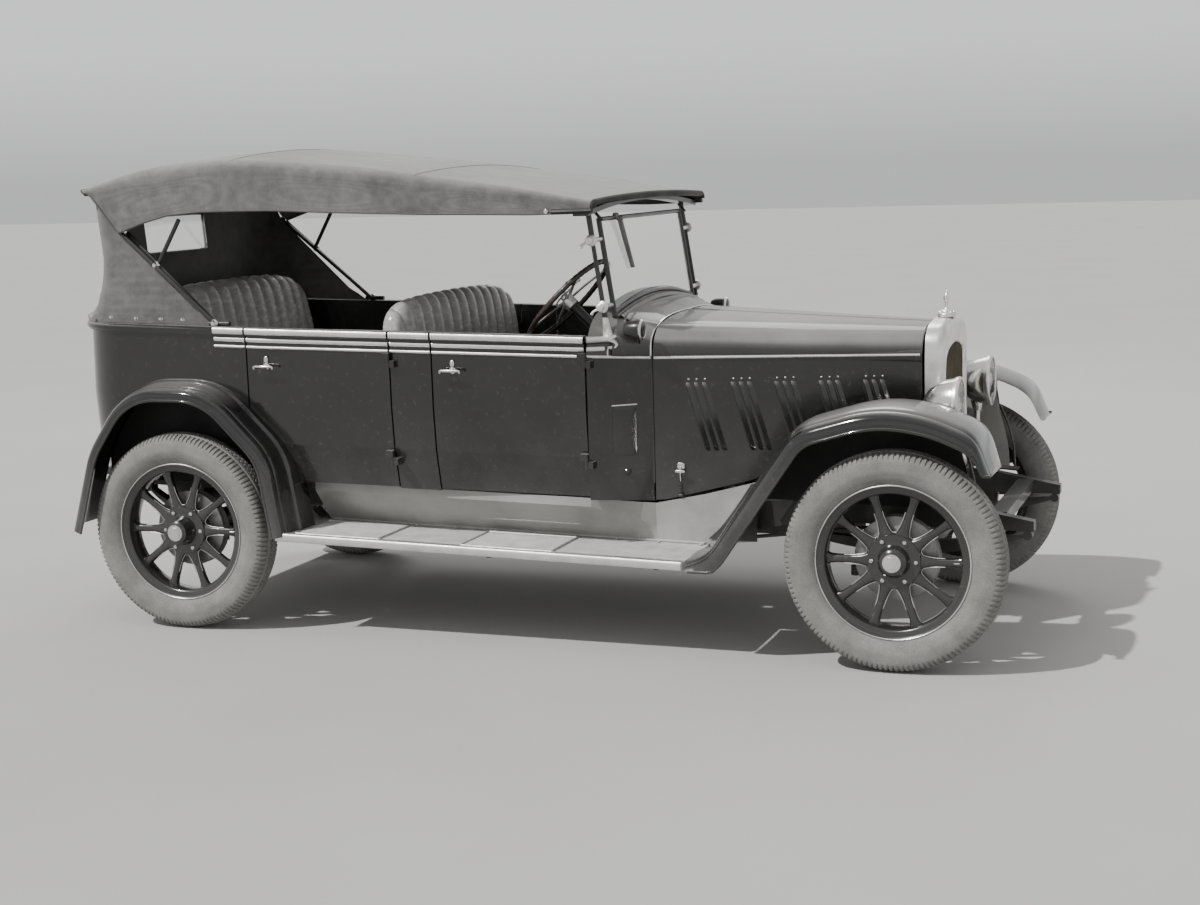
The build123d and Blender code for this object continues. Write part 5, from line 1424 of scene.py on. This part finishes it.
capOutline = smoothCurve([(0.0340, 0.0), (0.0345, 0.006), (0.0335, 0.012), (0.0240, 0.019), (0.0230, 0.022),
                          (0.0120, 0.026), (0.0070, 0.034), (0.0055, 0.044), (0.0075, 0.054),
                          (0.0115, 0.062), (0.0122, 0.070), (0.0105, 0.078), (0.0060, 0.088),
                          (0.0030, 0.096), (0.0, 0.0975)], 60)
capShape = [lathe(capOutline, at(55, 0, 1166.5), (0, 0, 1), 48)]
for a in fullTurn(8):
    capShape.append(pillow(at(55 + 27 * math.cos(a), 27 * math.sin(a), 1166.5 + 15), (0.011, 0.011, 0.010),
                           0.9, 10, 6))
rootPiece("radiatorCap", capShape, "shellNickel", "bright_plate", "radiator_cap")
print("steering wheel and radiator ready")

# Running boards: ribbed mats, an alloy edge round each board and the strip along the foot of the apron
board = {"top": 373, "outer": 800, "front": -742, "rear": -2375, "mats": ((-1600, -1250), (-2290, -1950)),
         "matSides": (520, 772), "ribs": 15, "apron": 471}


def boardPoint(x, y, up):
    return at(x, -y, raked(x, board["top"] + up))


def boardStrip(x0, x1, count, y, up, profile):
    # A profile that faces outwards, carried along the board.
    return carried(boardPoint(np.linspace(x0, x1, count), y, up), np.tile([0, -1.0, 0], (count, 1)), profile)


def matShape(x0, x1):
    # Ribs run along the board: height is a row of rounded bars, closed down to the board at the edges.
    across = np.linspace(*board["matSides"], 151)
    share = (across - across[0]) / (across[-1] - across[0])
    rib = np.abs(np.sin(math.pi * share * board["ribs"])) ** 0.6 * 3.2 + 2.6
    rib[[0, -1]] = 0.2
    along = np.array([x0, x0 + 3, x0 + 12, x1 - 12, x1 - 3, x1])
    scale = np.array([0.06, 0.75, 1, 1, 0.75, 0.06])
    return surface(boardPoint(along[:, None] + 0 * across, across[None] + 0 * along[:, None],
                              rib[None] * scale[:, None]))


boards = [matShape(*span) for span in board["mats"]]
rootPair("boardMats", boards, "matRubber", "board_rubber", outward=False)
lip = np.array([(0, -0.002), (0, 0.0018), (-0.010, 0.0030), (-0.024, 0.0020), (-0.024, -0.002)])
boardEnds = (board["rear"] + 4, board["front"] - 4, 30)
edge = [boardStrip(*boardEnds, board["outer"], -14, halfRound(0.0155, 0.0060)),
        boardStrip(*boardEnds, board["outer"] + 1, 1, lip)]
low, high = board["matSides"][0] - 5, board["matSides"][1] + 5
for x0, x1 in board["mats"]:
    trimX = (x0 - 5, x1 + 5)
    for y in (low, high):
        edge.append(straight(boardPoint(trimX[0], y, 2), boardPoint(trimX[1], y, 2), 0.0052, 6, 8))
    for x in trimX:
        edge.append(straight(boardPoint(x, low, 2), boardPoint(x, high, 2), 0.0052, 4, 8))
rootPair("boardEdges", edge, "alloyEdge", "bright_plate")

# Ahead of the wing's foot the sloping apron gets a thin black skin a little proud of it: painted shade for
# the shadow under the front wing
rise = np.linspace(0, 1, 14)[:, None]
noseX = -742 + 160 * rise + (187 - 160 * rise) * np.linspace(0, 1, 8)[None, :]
onward = np.clip((noseX + 752) / 195, 0, 1)
noseZ = np.where(rise < 0.3, 396 + (39 + 20 * onward) * rise / 0.3,
                 435 + 20 * onward + (123 + 34 * onward) * (rise - 0.3) / 0.7)
noseY = 474 - (16 + 10 * onward) * np.clip((rise - 0.3) / 0.7, 0, 1)
noseShadeSkin = surface(at(noseX, -(noseY + 2.5), raked(noseX, noseZ)))
rootPair("apronNoseShade", [noseShadeSkin], "chassisPaint", "wing_paint", outward=False)
foot = boardStrip(-2292, -756, 40, board["apron"] + 3, 4, halfRound(0.0050, 0.0085))
bolts = []
for x in np.arange(-2250, -760, 165):
    bolts.append(lathe([(0.007, 0), (0.0066, 0.003), (0.004, 0.0048), (0, 0.005)], boardPoint(x, 497, 2),
                       (0, -0.1, 1), 10))
rootPair("apronFoot", [foot] + bolts, "valancePaint", "wing_paint")
print("boards ready")

# Hood fittings: fasteners on the canvas, rods and knobs over the irons
studProfile = [(0.0085, 0), (0.0085, 0.003), (0.0060, 0.006)]
fasteners = []
for x in (-3235, -3128, -3010, -2895, -2795):
    y = -float(np.interp(x, [-3240, -3112, -2450], [652, 672, 690]))
    outwards = (0, -1, 0.1) if x > -3200 else (-0.5, -0.85, 0.1)
    fasteners.append(lathe(studProfile + [(0.0052, 0.010), (0, 0.0115)],
                           at(x, y - 6 if x > -3200 else y, raked(x, 1172)), outwards, 16))
for y in (-480, -320, -160, 0):
    fasteners.append(lathe(studProfile + [(0, 0.0085)], at(-3331, y, raked(-3331, 1172)), (-1, 0, 0.1), 16))
rootPair("hoodFasteners", fasteners, "nickel", "bright_plate")
knobs = []
for x, y, z in ((-2662, -664, raked(-2662, 1148) + 12), (-2925, -640, 1424), (-3078, -620, 1556)):
    knobs.append(onAxle([(0, -0.002), (0.015, 0), (0.016, 0.006), (0.011, 0.011), (0.008, 0.018),
                         (0, 0.019)], 20, at(x, y - 7, float(z))))
edgeIron = straight(at(-2668, -663, raked(-2668, 1148) + 14), at(-3082, -650, 1556), 0.0095, 12, 12)
strut = straight(at(-2925, -636, 1424), at(-2822, -630, 1598), 0.0085, 8, 12)
rootPair("hoodRods", [edgeIron, strut], "hoodIron", "chassis_paint")
rootPair("hoodIrons", knobs, "nickel", "bright_plate")

# Bar round the window, a little outside its opening
wyMid, wzMid = (wy0 + wy1) / 2, (wz0 + wz1) / 2
corners = smoothCurve([(wy0 + 14, wz0 - 2), (wyMid, wz0 - 3), (wy1 - 14, wz0 - 2), (wy1 + 2, wz0 + 14),
                       (wy1 + 3, wzMid), (wy1 + 2, wz1 - 14), (wy1 - 14, wz1 + 2), (wyMid, wz1 + 3),
                       (wy0 + 14, wz1 + 2), (wy0 - 2, wz1 - 14), (wy0 - 3, wzMid), (wy0 - 2, wz0 + 14),
                       (wy0 + 14, wz0 - 2)], 160)[:-1]
framePath = at(np.interp(corners[:, 1], backFace[:, 0], backFace[:, 1]) - 3, corners[:, 0], corners[:, 1])
rootPiece("rearWindowFrame", [tube(framePath, 0.0075, 10, closed=True, flatten=0.9)], "hoodIron",
          "chassis_paint")
print("hood fittings ready")

# Spring clips over the axles: station and level of the spring
clips = []
for x, z in ((0, 372.5), (-2820, 326)):
    for dx in (-34, 34):
        for y in (-412, -358):
            clips.append(straight(at(x + dx, y, z - 52), at(x + dx, y, z + 30), 0.0058, 2, 10))
        clips.append(straight(at(x + dx, -414, z + 29), at(x + dx, -356, z + 29), 0.0062, 2, 10))
rootPair("springClips", clips, "chassisPaint", "chassis_paint")
print("frame details ready")

# Dashboard: blank dials and switches; pedals and levers on the floor
dash = {"x": -1126, "dials": ((60, 1150, 0.044), (-60, 1150, 0.044), (170, 1140, 0.026), (0, 1085, 0.020)),
        "switches": (-150, -120, 125, 150), "switchZ": 1085}


def dashPart(outline, y, z, around=40):
    return lathe(outline, at(dash["x"], y, z), (-1, 0, 0), around)


dials = [dashPart([(r - 0.006, 0), (r, 0.001), (r + 0.003, 0.006), (r - 0.001, 0.010), (r - 0.006, 0.008),
                   (r - 0.007, 0.002)], y, z) for y, z, r in dash["dials"]]
faces = [dashPart([(r - 0.005, 0.002), (r - 0.008, 0.0028), (0, 0.003)], y, z) for y, z, r in dash["dials"]]
switches = [dashPart([(0.008, 0), (0.009, 0.004), (0.006, 0.010), (0.008, 0.016), (0, 0.019)], y,
                     dash["switchZ"], 16) for y in dash["switches"]]
rootPiece("dashFittings", dials + switches, "nickel", "bright_plate")
rootPiece("dashFaces", faces, "rimWood", "dark_wood")
controls = []
for y in (-440, -288, -235):
    pedal = tube(at([-955, -1010, -1070], [y, y, y], [585, 640, 725]), [0.008, 0.008, 0.007], 10)
    controls += [pedal, pillow(at(-1078, y, 732), (0.020, 0.058, 0.078), 0.4, 16, 8, turned(-35, "Y"))]
gearLever = tube(at([-1250, -1290, -1350], [-60, -60, -62], [545, 700, 815]), [0.011, 0.009, 0.008], 12)
brakeLever = tube(at([-1300, -1345, -1400], [60, 60, 62], [545, 680, 800]), [0.010, 0.009, 0.009], 12)
controls += [gearLever, brakeLever, pillow(at(-1353, -62, 822), (0.036, 0.036, 0.036), 1.0, 18, 12),
             pillow(at(-1405, 62, 812), (0.024, 0.024, 0.060), 0.8, 14, 10)]
rootPiece("floorControls", controls, "iron", "engine_iron")

# Door trims: padded boards inside the doors
for body, (x0, x1) in doorSpans.items():
    low, high = 640 if body == "door_front" else 905, 1105
    xx, zz = np.meshgrid(np.linspace(x0 - 40, x1 + 40, 16), np.linspace(low, high, 14), indexing="ij")
    inside = -(sideOf(xx) - 40 - np.interp(zz, [545, 700, 860], [45, 12, 0]))
    alongPuff = np.sin(math.pi * (xx - xx[0, 0]) / (xx[-1, 0] - xx[0, 0])) ** 0.3
    puff = 4 * alongPuff * np.sin(math.pi * np.clip((zz - low) / (high - low), 0.001, 0.999)) ** 0.3
    trim = surface(at(xx, inside + puff, zz - trimLean * (xx + stance["pivot"])))
    onBody(body.replace("door_", "door") + "Trim", trim, "trimLeather", body, "seat_leather", outward=False)

# Tail: a blank plate on two bolts, leaning with the panel behind it
plate = {"x": -3319, "y": 300, "z": 662, "lean": 0.187, "halfWide": 150, "halfHigh": 48, "bolts": 120}
wide, high = plate["halfWide"], plate["halfHigh"]


def onTail(a, b, depth):
    return at(plate["x"] - plate["lean"] * b - depth * 1000, plate["y"] + a, plate["z"] + b)


tailBits = [plateShape([(-wide, -high), (wide, -high), (wide, high), (-wide, high)], (0, 0.004), onTail)]
for y in (plate["y"] - plate["bolts"], plate["y"] + plate["bolts"]):
    tailBits.append(lathe([(0.010, -0.004), (0.010, 0.008), (0.006, 0.0115), (0, 0.012)],
                          at(-3315, y, plate["z"]), (-1, 0, 0), 16))
rootPiece("rearPlate", tailBits, "hoodIron", "chassis_paint")
